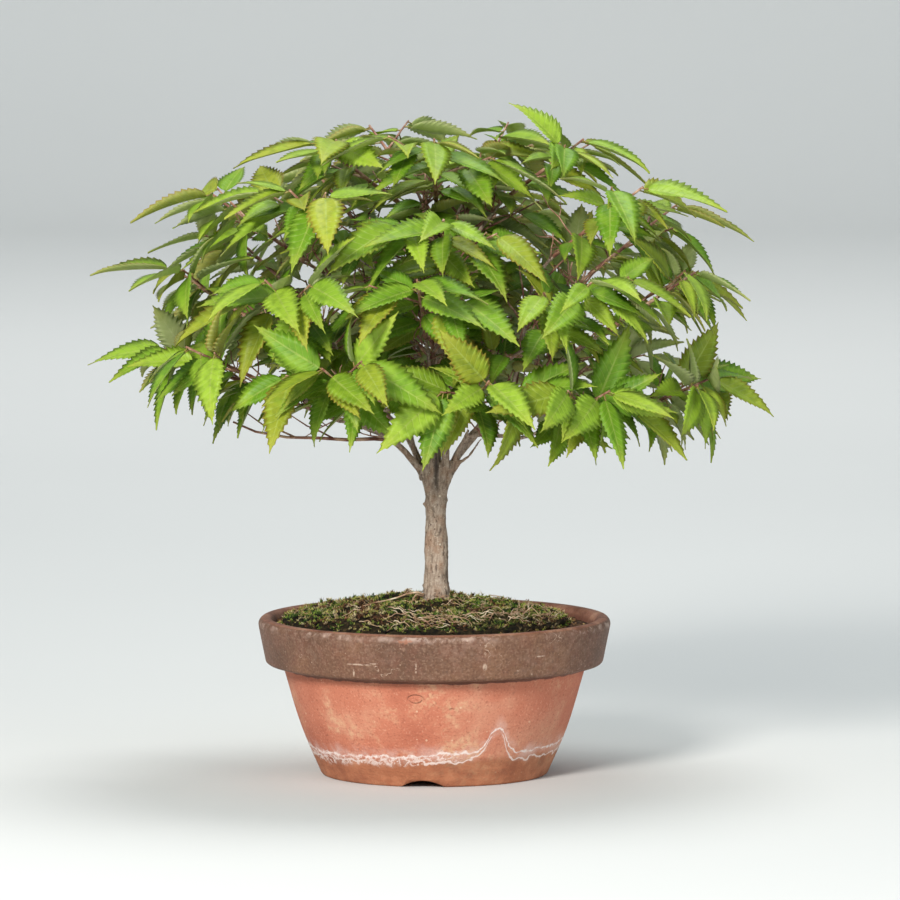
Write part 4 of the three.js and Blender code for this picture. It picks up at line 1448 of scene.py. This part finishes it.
# %% Join the rows with faces
def leaf_grid_faces():
    """Faces of the grid: upper ones, lower ones wound the other way, and the two ends."""
    rows, across = len(row_places), len(columns)
    inner = across - 2
    ring = across + inner
    tip = rows * ring

    def upper(row, column):
        return row * ring + column

    def lower(row, column):
        edge = column in (0, across - 1)
        return row * ring + (column if edge else across + column - 1)

    over, under = [], []
    for row in range(rows - 1):
        for column in range(across - 1):
            over.append((upper(row, column), upper(row, column + 1),
                         upper(row + 1, column + 1), upper(row + 1, column)))
            under.append((lower(row, column), lower(row + 1, column),
                          lower(row + 1, column + 1), lower(row, column + 1)))
    for column in range(across - 1):
        over.append((upper(rows - 1, column), upper(rows - 1, column + 1), tip))
        under.append((lower(rows - 1, column + 1), lower(rows - 1, column), tip))
        under.append((upper(0, column + 1), upper(0, column), lower(0, column), lower(0, column + 1)))
    under = [tuple(dict.fromkeys(face)) for face in under]
    return over, [face for face in under if len(face) > 2], tip + 1


upper_faces, lower_faces, leaf_point_count = leaf_grid_faces()
print("one leaf has", leaf_point_count, "points")

# %% [markdown]
# No two leaves are shaped alike. Each has its own wave, twist and curl, drawn when it is shaped, on top
# of the arch and the fold that the plan gave it. A groove runs along the midrib on the upper side and a
# rib along the lower one.

# %% Shape a leaf's points
WAVES = 5.0
HALF_THICKNESS = 0.12
RIB_DEPTH = 0.3
GROOVE_DEPTH = -0.35
LEAST_HALF_WIDTH = 0.2


def shaped_leaf(leaf, draw):
    """All points of one leaf in mm."""
    length, half = leaf["length"], leaf["half_width"]
    wave_phase, wave = draw(0, 6.3), draw(0.2, 0.7)
    twist, tip_curl = draw(-0.25, 0.25), draw(0.0, 1.6)
    sideways = draw(-0.05, 0.05)
    edge = np.abs(columns)[None, :]
    on_midrib = edge < 0.01
    width = np.maximum(row_widths[:, None] * half, LEAST_HALF_WIDTH) * columns[None, :]
    side = width + row_teeth[:, None] * half * np.sign(columns)[None, :] * (edge > 0.99)
    hooked = row_places[:, None] + 0.5 * row_teeth[:, None] * half / length
    along = row_midrib[:, None] * (1 - edge) + hooked * edge
    pleat = row_pleats[:, None] * np.sin(edge * math.pi * 0.9) * 0.9
    waved = wave * np.sin(WAVES * along + wave_phase + columns[None, :]) * edge
    groove = np.where(on_midrib, GROOVE_DEPTH, 0.0) * (1 - row_places[:, None])
    body = HALF_THICKNESS * (1 - edge)

    def placed(lift):
        sag = -leaf["arch"] * length * along * np.abs(along) - tip_curl * np.clip(along - 0.7, 0, 1) ** 2 * 10
        bent = side + sideways * length * along ** 2
        rise = sag + leaf["fold"] * np.abs(side) + pleat + waved + groove + twist * side * along + lift
        return (leaf["root"] + (STALK + along[..., None] * length) * leaf["axis"]
                + bent[..., None] * leaf["across"] + rise[..., None] * leaf["normal"])

    upper = placed(body)
    lower = placed(-body - np.where(on_midrib, RIB_DEPTH, 0.0))[:, 1:-1]
    rings = np.concatenate([upper, lower], axis=1).reshape(-1, 3)
    tip_side = sideways * length
    tip = leaf_point(leaf, 1.0, tip_side, -tip_curl * 0.9 - leaf["fold"] * abs(tip_side))
    return np.vstack([rings, tip[None]])


grid_across = np.concatenate([np.tile(columns, (len(row_places), 1)),
                              np.tile(columns[1:-1], (len(row_places), 1))], axis=1).ravel()
grid_along = np.repeat(row_places, 2 * len(columns) - 2)
leaf_across = np.append(grid_across, 0.0)
leaf_along = np.append(grid_along, 1.0)

print("a shaped leaf has", len(shaped_leaf(shoots[0]["held"][0], seeded_draw(5))), "points")

# %% [markdown]
# Stalks, twigs, limbs and roots are all round and all bend, so one helper makes them: it carries a ring
# of points along a path and keeps the ring square to it. Each ring starts from the side of the ring
# before, which stops the tube from twisting.

# %% Draw a tube along a path
def tube(centres, radii, sides):
    """A closed round tube through points in mm, wide as the radii say."""
    centres = np.asarray(centres, dtype=float)
    ways = np.gradient(centres, axis=0)
    ways /= np.linalg.norm(ways, axis=1, keepdims=True)
    side = unit(np.cross(ways[0], [0.31, 0.95, 0.1] if abs(ways[0][2]) > 0.7 else UP))
    points = []
    for centre, way, radius in zip(centres, ways, radii):
        side = unit(side - way * np.dot(side, way))
        front = np.cross(way, side)
        for i in range(sides):
            angle = 2 * math.pi * i / sides
            points.append(centre + radius * (math.cos(angle) * side + math.sin(angle) * front))
    faces = []
    for ring in range(len(centres) - 1):
        for i in range(sides):
            j = (i + 1) % sides
            faces.append((ring * sides + i, ring * sides + j, (ring + 1) * sides + j, (ring + 1) * sides + i))
    faces.append(tuple(range(sides))[::-1])
    faces.append(tuple((len(centres) - 1) * sides + i for i in range(sides)))
    return points, faces


def tapered(route, foot, top, sides):
    """A tube whose radius goes evenly from the foot's to the top's."""
    return tube(route, np.linspace(foot, top, len(route)), sides)


stub_points, stub_faces = tapered([(0, 0, 0), (0, 0, 10)], 1.0, 0.5, 6)
print("a tube of two rings has", len(stub_points), "points and", len(stub_faces), "faces")

# %% [markdown]
# Young zelkova leaves are thin enough for light to glow through. The upper face is a fresh green with a
# satin gloss, the lower one is paler and dull. Both are a mix of an ordinary surface and a translucent
# one. The veins are drawn from the leaf's own grid: they are the lines where the place along the edge
# reaches a tooth, and the midrib is where the place across is nought. Some leaves are warmer than others,
# with yellow blades and bronze teeth.

# %% Mix the leaf greens
WARM_BLADE, YELLOW_POINT, BRONZE_TEETH = (186, 176, 58), (202, 192, 80), (184, 136, 62)
TEETH_PER_PLACE = TEETH / (TEETH_TO - TEETH_FROM)


def make_leaf_green(name, deep, middle, fresh, vein, through, glow, roughness, specular):
    leaf = Finish(name)
    warmth = leaf.number("warmth")
    along = leaf.number("along")
    across = leaf.size(leaf.number("across"))
    # the tone number holds painted shade for leaves deep in the crown, as well as each leaf's own draw
    tint = leaf.shades(leaf.number("tone"), [(0.0, deep), (0.5, middle), (1.0, fresh)])
    tint = leaf.stain(tint, WARM_BLADE, warmth, 0.6, 1.0, 0.6)
    tooth = leaf.math("FRACT", leaf.times(leaf.minus(along, TEETH_FROM), TEETH_PER_PLACE))
    off_vein = leaf.size(leaf.minus(tooth, TOOTH_POINT))
    veins = leaf.times(leaf.band(off_vein, 0.12, 0.02), leaf.band(across, 1.0, 0.75))
    tint = leaf.blend(leaf.times(veins, 0.32), tint, vein)
    tint = leaf.stain(tint, vein, across, 0.1, 0.03, 0.55)
    tint = leaf.stain(tint, deep, leaf.mottle(260.0, 4.0), 0.42, 0.7, 0.35)
    tint = leaf.stain(tint, fresh, leaf.mottle(90.0, 3.0), 0.5, 0.68, 0.4)
    tint = leaf.stain(tint, YELLOW_POINT, along, 0.6, 1.0, 0.4)
    bronze = leaf.times(leaf.band(across, 0.8, 1.0), leaf.band(warmth, 0.5, 1.0, 0.0, 0.6))
    tint = leaf.blend(bronze, tint, BRONZE_TEETH)
    leaf.relief(leaf.plus(leaf.times(veins, -1.0), leaf.times(leaf.mottle(1500.0), 0.3)), 0.2, 0.6)
    leaf.finish(tint, roughness, specular)
    light = leaf.node("ShaderNodeBsdfTranslucent", {}, {"Color": leaf.blend(0.5, tint, through)})
    mixed = leaf.node("ShaderNodeMixShader", {}, {0: glow, 1: leaf.shader.outputs[0], 2: light.outputs[0]})
    leaf.feed(leaf.output.inputs["Surface"], mixed.outputs[0])
    return leaf.material


leaf_top = make_leaf_green(
    "leaf_upper_side", deep=(65, 107, 26), middle=(120, 167, 40), fresh=(174, 205, 66),
    vein=(190, 206, 104), through=(190, 212, 50), glow=0.36, roughness=0.46, specular=0.35)
leaf_back = make_leaf_green(
    "leaf_lower_side", deep=(146, 164, 102), middle=(176, 188, 126), fresh=(204, 208, 152),
    vein=(218, 220, 172), through=(204, 214, 110), glow=0.44, roughness=0.6, specular=0.25)


def make_stalk_skin():
    stalk = Finish("leaf_stalk")
    tint = stalk.blend(stalk.mottle(160.0), (140, 150, 70), (136, 84, 52))
    return stalk.finish(tint, 0.5, 0.4)


stalk_skin = make_stalk_skin()
print("leaf finishes:", leaf_top.name, leaf_back.name, stalk_skin.name)

# %% [markdown]
# Every spray becomes one piece: its leaves, planned and extra, with their stalks. Leaves deep in the
# crown are painted darker, as the shade that falls inside it, and those outside lighter, so each leaf's
# tone comes from how far out it hangs, with a draw of its own on top. The piece carries four numbers for
# its finish: tone, warmth, and the places along and across each leaf.

# %% Grow the sprays
stalk_reaches, stalk_radii, stalk_sides = (0.0, 1.5, 3.4), (0.42, 0.34, 0.3), 5


# painted shade: the further in a leaf hangs, the darker its tone
def leaf_tone_and_shade(leaf, draw):
    middle = leaf_point(leaf, 0.5, 0, 0) - CROWN_CENTRE
    out = float(np.linalg.norm(middle / CROWN_HALF))
    return min(1.0, max(0.0, 0.1 + 0.62 * (out - 0.35) / 0.65 + draw(-0.28, 0.3)))


def grow_spray(name, shoot, draw):
    shapes, kinds, numbers = [], [], []
    for leaf in shoot["held"]:
        blade = shaped_leaf(leaf, draw)
        tone, warmth = leaf_tone_and_shade(leaf, draw), draw(0, 1)
        path = [leaf_point(leaf, (reach - STALK) / leaf["length"], 0, -0.1) for reach in stalk_reaches]
        stalk_points, stalk_faces = tube(path, stalk_radii, stalk_sides)
        shapes += [(blade, upper_faces + lower_faces), (stalk_points, stalk_faces)]
        kinds += [0] * len(upper_faces) + [1] * len(lower_faces) + [2] * len(stalk_faces)
        numbers += [(tone, warmth, along, across) for along, across in zip(leaf_along, leaf_across)]
        numbers += [(tone, warmth, 0.0, 0.0)] * len(stalk_points)
    piece = make_object(name, *joined(shapes), [leaf_top, leaf_back, stalk_skin], kinds)
    for label, values in zip(("tone", "warmth", "along", "across"), np.array(numbers).T):
        add_number(piece, label, values)
    return piece


leaf_draw = seeded_draw(3)
for number, shoot in enumerate(shoots, start=1):
    spray = grow_spray(f"leaves_{number:02d}", shoot, leaf_draw)
    finish_piece(spray, "leaf", f"spray_{number:02d}")

# %% [markdown]
# The wood is one body. Tubes run up the trunk and along all the limb curves, and a few more make the
# stems of later years that stand between the limbs at the fork. Limbs sway a little on their way, as
# wood does that grew from bud to bud. Blender takes the start of this noise from the clock, so it gets
# a seed, and every run grows the same tree. Short stubs are the knots that cut twigs left behind.

# %% Lay the tubes of the trunk and limbs
# Heights and radii in mm: a flared foot, a bulge half way up, a slim waist, and the swelling at the fork
trunk_outline = [(60, 6.3), (80, 6.25), (84, 5.9), (88, 5.55), (102, 5.35), (107, 5.15), (112, 4.7),
                 (121, 4.75), (126, 5.2), (129, 5.5)]
outline_heights, outline_radii = zip(*trunk_outline)
bow_heights, bows = [60, 82, 100, 114, 126], [0, 0, 0.2, -0.3, 0]
side_stems = [
    # points, and radii at the foot and top, in mm
    ([(2.6, -1.6, 122), (4.4, -3.2, 131), (5.0, -4.4, 143), (5.2, -5.0, 156), (7.4, -7, 172),
      (10, -10, 188)], 2.5, 1.1),
    ([(-2.2, -2.2, 124), (-3.8, -4.2, 134), (-3.7, -5.0, 144), (-4.6, -5.6, 156), (-8, -8, 170)], 1.8, 0.9),
    ([(5.8, -1.6, 131), (8.6, -3.2, 138), (10.8, -4.4, 146), (15.5, -7, 156)], 1.4, 0.8),
    ([(8.2, -2.6, 136), (11.6, -5.2, 141), (15.6, -7.4, 144), (21, -9, 152)], 1.1, 0.6),
    ([(-5.2, 1.0, 132), (-8.4, 2.4, 143), (-10.8, 3.6, 154), (-15, 6, 168)], 1.5, 0.8),
]
knots = [
    # end point and radius in mm
    (-5.4, -1.0, 121.0, 0.7), (4.1, -1.2, 103.0, 3.2), (-3.6, -2.4, 93.0, 1.8), (2.6, -3.6, 112.0, 1.2),
    (4.4, 3.0, 116.0, 1.2), (-2.4, 4.4, 99.0, 2.0), (4.6, -3.4, 88.0, 1.5), (6.2, -0.6, 123.0, 0.9),
    (-0.6, -4.6, 122.0, 1.3), (-5.0, -2.6, 84.5, 1.5), (6.0, -3.0, 83.5, 1.5), (6.6, -0.4, 85.5, 0.8),
]
LIMB_STEPS, LIMB_SIDES, TRUNK_STEPS, TRUNK_SIDES, KNOT_SIDES = 22, 9, 26, 20, 8
LIMB_SWAY = 1.6
noise.seed_set(11)


def wandering(controls, steps, sway, phase):
    """Points along a limb that sway a little, most of all half way."""
    points = []
    for t in np.linspace(0, 1, steps):
        ease = math.sin(math.pi * t)
        offset = Vector(noise.noise_vector(Vector((6.0 * t, phase, 0.0)))) * sway * ease
        points.append(bezier(controls, t) + np.array(offset))
    return points


def wood_tubes():
    heights = np.linspace(TRUNK_BOTTOM, FORK_HEIGHT - 1, TRUNK_STEPS)
    middles = TRUNK_X + np.interp(heights, bow_heights, bows)
    radii = np.interp(heights, outline_heights, outline_radii)
    tubes = [tube([(x, 0, z) for x, z in zip(middles, heights)], radii, TRUNK_SIDES)]
    for k, shoot in enumerate(shoots):
        path = wandering(shoot["limb"], LIMB_STEPS, LIMB_SWAY, 3.7 * k)
        steps = np.linspace(0, 1, LIMB_STEPS)
        radii = [limb_radius(shoot["limb_radius"], t) * (0.92 - 0.08 * t) for t in steps]
        tubes.append(tube(path, radii, LIMB_SIDES))
    for route, foot, top in side_stems:
        tubes.append(tapered(route, foot, top, LIMB_SIDES))
    for x, y, z, radius in knots:
        route = [(TRUNK_X, 0, z - 1), (x * 0.6, y * 0.6, z), (x, y, z + 0.8)]
        tubes.append(tube(route, [radius * 1.5, radius * 1.2, radius * 0.8], KNOT_SIDES))
    return joined(tubes)


wood = make_object("trunk_and_limbs", *wood_tubes(), [])
print("wood tubes:", 1 + len(shoots) + len(side_stems) + len(knots))

# %% [markdown]
# Now the tubes are merged. A voxel remesh melts everything that overlaps into one skin and rounds the
# crotches, as growing wood does. It leaves little steps, and a light smoothing takes them out.

# %% Merge the tubes into one body
melt = wood.modifiers.new("melt", "REMESH")
melt.mode = "VOXEL"
melt.voxel_size = 0.74 * MM
soften = wood.modifiers.new("soften", "SMOOTH")
soften.factor = 0.5
soften.iterations = 4
applied(wood)
print("wood has", triangles_of(wood), "triangles after the remesh")

# %% [markdown]
# Zelkova bark stays smooth while the tree is young, with low lumps, and it is rougher at the foot. These
# largest marks are pushed into the mesh itself, along each point's own direction outwards.

# %% Roughen the bark
LUMP_DEPTH, PORE_DEPTH, FOOT_PORE_DEPTH, LIMB_PORE_DEPTH = 0.36, 0.16, 0.3, 0.06


def roughen_bark(piece):
    count = len(piece.data.vertices)
    points = np.empty(3 * count)
    normals = np.empty(3 * count)
    piece.data.vertices.foreach_get("co", points)
    piece.data.vertices.foreach_get("normal", normals)
    points, normals = points.reshape(-1, 3), normals.reshape(-1, 3)
    for i in range(count):
        x, y, z = points[i] / MM
        stem = max(0.0, min(1.0, (150 - z) / 40)) if math.hypot(x, y) < 22 else 0.0
        foot = max(0.0, min(1.0, (92 - z) / 10))
        pores = noise.noise(Vector((x / 1.9, y / 1.9, z / 1.2)))
        lumps = noise.noise(Vector((x / 4.0, y / 4.0, z / 7.0)))
        on_stem = LUMP_DEPTH * lumps + (PORE_DEPTH + FOOT_PORE_DEPTH * foot) * pores
        points[i] += normals[i] * MM * (stem * on_stem + LIMB_PORE_DEPTH * pores)
    piece.data.vertices.foreach_set("co", points.ravel())
    piece.data.update()
    return float(np.abs(points).max())


print("roughened wood reaches", round(roughen_bark(wood), 4), "m")

# %% [markdown]
# The bark is grey-brown, with small pale breathing pores that lie across the stem, and fine cracks along
# it where it has thickened. Noise stretched along the stem gives the cracks, and noise squeezed across
# it gives the pores. Between the stems at the fork it is nearly black, because no light gets in there.

# %% Colour the bark
BARK = [(0.34, (108, 90, 76)), (0.46, (146, 127, 110)), (0.58, (172, 153, 136)), (0.72, (200, 184, 167))]
RUSTY, PALE_BAR, CRACK = (146, 108, 82), (212, 196, 176), (82, 62, 50)
PIT, PALE_PORE, CROTCH = (84, 60, 46), (228, 214, 192), (40, 31, 26)


def make_bark():
    bark = Finish("zelkova_bark")
    place = bark.place()
    along = bark.stretch(place, (1.0, 1.0, 0.28))
    across = bark.stretch(place, (1.0, 1.0, 3.4))
    tint = bark.shades(bark.mottle(700.0, 6.0, along, 0.7), BARK)
    tint = bark.stain(tint, RUSTY, bark.mottle(150.0, 4.0), 0.48, 0.64, 0.45)
    tint = bark.stain(tint, PALE_BAR, bark.mottle(900.0, 3.0, across), 0.58, 0.68, 0.6)
    cracks = bark.band(bark.mottle(620.0, 6.0, along, 0.75), 0.43, 0.33, 0.0, 0.75)
    tint = bark.blend(cracks, tint, CRACK)
    pits = bark.dots(520.0, 0.26, 0.22, 0.7)
    tint = bark.blend(pits, tint, PIT)
    pale = bark.dots(430.0, 0.26, 0.2, 0.85)
    tint = bark.blend(pale, tint, PALE_PORE)
    from_crotch = bark.distance((0.8, -4.0, 142.0), (1.0, 0.25, 0.1))
    tint = bark.stain(tint, CROTCH, from_crotch, 1.9, 0.7, 0.9)
    height = bark.plus(bark.times(cracks, -0.8), bark.mottle(900.0, 5.0, along), bark.minus(pale, pits))
    bark.relief(height, 0.4)
    return bark.finish(tint, 0.75, 0.3)


wood.data.materials.append(make_bark())
finish_piece(wood, "bark", "trunk")

# %% [markdown]
# Between limbs and leaves run the shoots of this year and the last, thin and reddish-brown. The packed
# sprays hold the main ones, and here they get their real thickness. Finer bare twiglets branch off them
# in a zigzag, as they do in the gaps of a real crown: at each bud they change their mind a little.

# %% Draw twigs and twiglets
TWIG_STEPS = 7
TWIGLET_BUDS = 4
TWIGLETS = 8
SHARE_ON_LIMB = 0.6
CROWN_FOR_TWIGLETS = 0.84
SIDE_TWIGLET_LENGTH = 9


def twig_tube(start, end, sway, phase, foot, top, sides):
    """A slightly crooked twig from start to end."""
    path = []
    for t in np.linspace(0, 1, TWIG_STEPS):
        offset = np.array(noise.noise_vector(Vector((5.0 * t, phase, 2.0)))) * sway * math.sin(math.pi * t)
        path.append(start + (end - start) * t + offset)
    return tapered(path, foot, top, sides)


def twiglet(start, heading, length, draw):
    """A bare side twig that changes its mind at each bud."""
    points = [start]
    way = heading
    for _ in range(TWIGLET_BUDS):
        way = unit(way + np.array([draw(-0.4, 0.4), draw(-0.4, 0.4), draw(-0.3, 0.35)]))
        points.append(points[-1] + way * length / TWIGLET_BUDS)
    return points


def bare_twiglets(shoot, draw):
    """Zigzag twigs on a limb and the foot of its shoot, most of them with one of their own."""
    base, tip = shoot["main"]
    heading = unit(tip - base)
    tubes = []
    for _ in range(TWIGLETS):
        if draw(0, 1) < SHARE_ON_LIMB:
            start = bezier(shoot["limb"], draw(0.4, 1.0))
        else:
            start = base + (tip - base) * draw(0, 0.4)
        way = unit(heading * draw(0.2, 1.0) + np.array([draw(-1, 1), draw(-1, 1), draw(-0.5, 0.6)]))
        path = twiglet(start, way, draw(10, 26), draw)
        if crown_share(path[-1]) > CROWN_FOR_TWIGLETS:
            continue
        tubes.append(tapered(path, 0.42, 0.24, 5))
        side_way = unit(way + np.array([draw(-1, 1), draw(-1, 1), draw(-0.4, 0.6)]))
        side_path = twiglet(path[2], side_way, SIDE_TWIGLET_LENGTH, draw)
        if crown_share(side_path[-1]) < CROWN_FOR_TWIGLETS:
            tubes.append(tapered(side_path, 0.3, 0.2, 5))
    return tubes


sample_twiglet = twiglet(np.zeros(3), UP, 20, seeded_draw(6))
print("a twiglet of 20 mm rises", round(float(sample_twiglet[-1][2]), 1), "mm")

# %% [markdown]
# One low branch runs level to the left under the crown, and two twigs rise from it. Then every shoot gets
# its stem, its forks, the twigs inside and its bare twiglets. They are one piece with a skin of its own.

# %% Set the twigs
low_branch = [(-15, -3, 150.5), (-27, -6, 151.6), (-39, -9, 151.4), (-52, -11, 152.4), (-66, -12, 152.8),
              (-80, -14, 155.5), (-90, -15, 160)]
low_twigs = [[(-45, -10, 152), (-51, -12, 155.4), (-57, -15, 158.2), (-64, -17, 163)],
             [(-62, -12, 152.7), (-69, -9, 155.6), (-77, -8, 158.2), (-84, -5, 163)]]


def make_twigs():
    draw = seeded_draw(41)
    tubes = [tapered(low_branch, 0.95, 0.45, 8)]
    tubes += [tapered(low_twig, 0.5, 0.3, 6) for low_twig in low_twigs]
    for k, shoot in enumerate(shoots):
        base, tip = shoot["main"]
        tubes.append(twig_tube(base - unit(tip - base) * 1.2, tip, 0.5, 1.3 * k, 1.05, 0.5, 8))
        for start, end in shoot["forks"]:
            tubes.append(twig_tube(start, end, 0.5, 2.1 * k + end[0], 0.62, 0.4, 6))
        for start, end in shoot["inner"]:
            tubes.append(twig_tube(start, end, 1.0, start[0] + end[1], 0.6, 0.36, 5))
        tubes += bare_twiglets(shoot, draw)
    return joined(tubes)


def make_twig_skin():
    twig = Finish("young_twig")
    tint = twig.shades(twig.mottle(220.0, 4.0),
                       [(0.34, (104, 62, 48)), (0.5, (144, 102, 82)), (0.64, (184, 150, 124))])
    twig.relief(twig.mottle(900.0), 0.1)
    return twig.finish(tint, 0.6, 0.35)


twigs = make_object("twigs", *make_twigs(), [make_twig_skin()])
finish_piece(twigs, "bark")

# %% [markdown]
# Fine pale roots lie over the moss and the soil where the tree was lifted and set again. They are thin
# tubes that follow the ground. Their routes start from a seeded spot and wander, and the longest run
# across the front of the moss. Two thicker ones leave the trunk's foot and arch to the left.

# %% Lay the root threads
arching_roots = [[(-4.6, -3.4, 81.0), (-7.5, -3.8, 82.2), (-12, -4.4, 81.6), (-17, -5.2, 79.8),
                  (-22, -6, 78.6), (-27, -7, 77.8), (-32, -9.5, 76.6)],
                 [(-5.0, -4.5, 80.4), (-8.2, -6.2, 81.4), (-9.4, -9.5, 80.2), (-9.0, -13.5, 79.0),
                  (-10.5, -17, 78.2)]]
LONG_ROOTS, SHORT_ROOTS = 34, 26
ROOT_STEP = 1.1
FEWEST_POINTS = 4
ROOT_SIDES = 5


def ground_height(x, y):
    if math.hypot(x, y) < 0.97 * float(moss_edge(math.atan2(y, x))):
        return float(moss_height(x, y)) + 0.5
    return soil_height(math.hypot(x, y)) + 0.5


def root_route(x, y, heading, length, draw):
    """A thread that winds from side to side about its heading, and dips in and out of the moss."""
    points = []
    steps = max(6, int(length / ROOT_STEP))
    phase, bend = draw(0, 6.3), 0.0
    for i in range(steps):
        if math.hypot(x, y) > 0.96 * float(moss_edge(math.atan2(y, x))):
            break
        points.append((x, y, ground_height(x, y) + clump(x, y) + 0.1 + 0.9 * math.sin(0.42 * i + phase)))
        bend = 0.8 * bend + draw(-0.4, 0.4)
        x += math.cos(heading + bend) * length / steps
        y += math.sin(heading + bend) * length / steps
    return points


def make_roots():
    draw = seeded_draw(15)
    routes = [(route, 0.5, 0.28) for route in arching_roots]
    for _ in range(LONG_ROOTS):
        azimuth, reach = math.radians(draw(-125, -10)), draw(36, 62)
        heading = azimuth + math.pi / 2 + draw(-0.3, 0.3)
        start = reach * math.cos(azimuth), reach * math.sin(azimuth)
        routes.append((root_route(*start, heading, draw(20, 55), draw), draw(0.16, 0.28), 0.12))
    for _ in range(SHORT_ROOTS):
        azimuth, reach = draw(0, 2 * math.pi), draw(14, 60)
        start = reach * math.cos(azimuth), reach * math.sin(azimuth)
        routes.append((root_route(*start, draw(0, 6.3), draw(7, 20), draw), draw(0.14, 0.22), 0.1))
    return joined(tapered(route, thick, thin, ROOT_SIDES)
                  for route, thick, thin in routes if len(route) >= FEWEST_POINTS)


def make_root_skin():
    root = Finish("pale_root")
    tint = root.shades(root.mottle(160.0, 5.0),
                       [(0.36, (136, 98, 74)), (0.5, (182, 148, 118)), (0.64, (224, 206, 178))])
    return root.finish(tint, 0.7, 0.3)


roots = make_object("root_threads", *make_roots(), [make_root_skin()])
finish_piece(roots, "moss")

# %% [markdown]
# Leaves may stand a little proud of the solids, but nothing may grow well past their box.
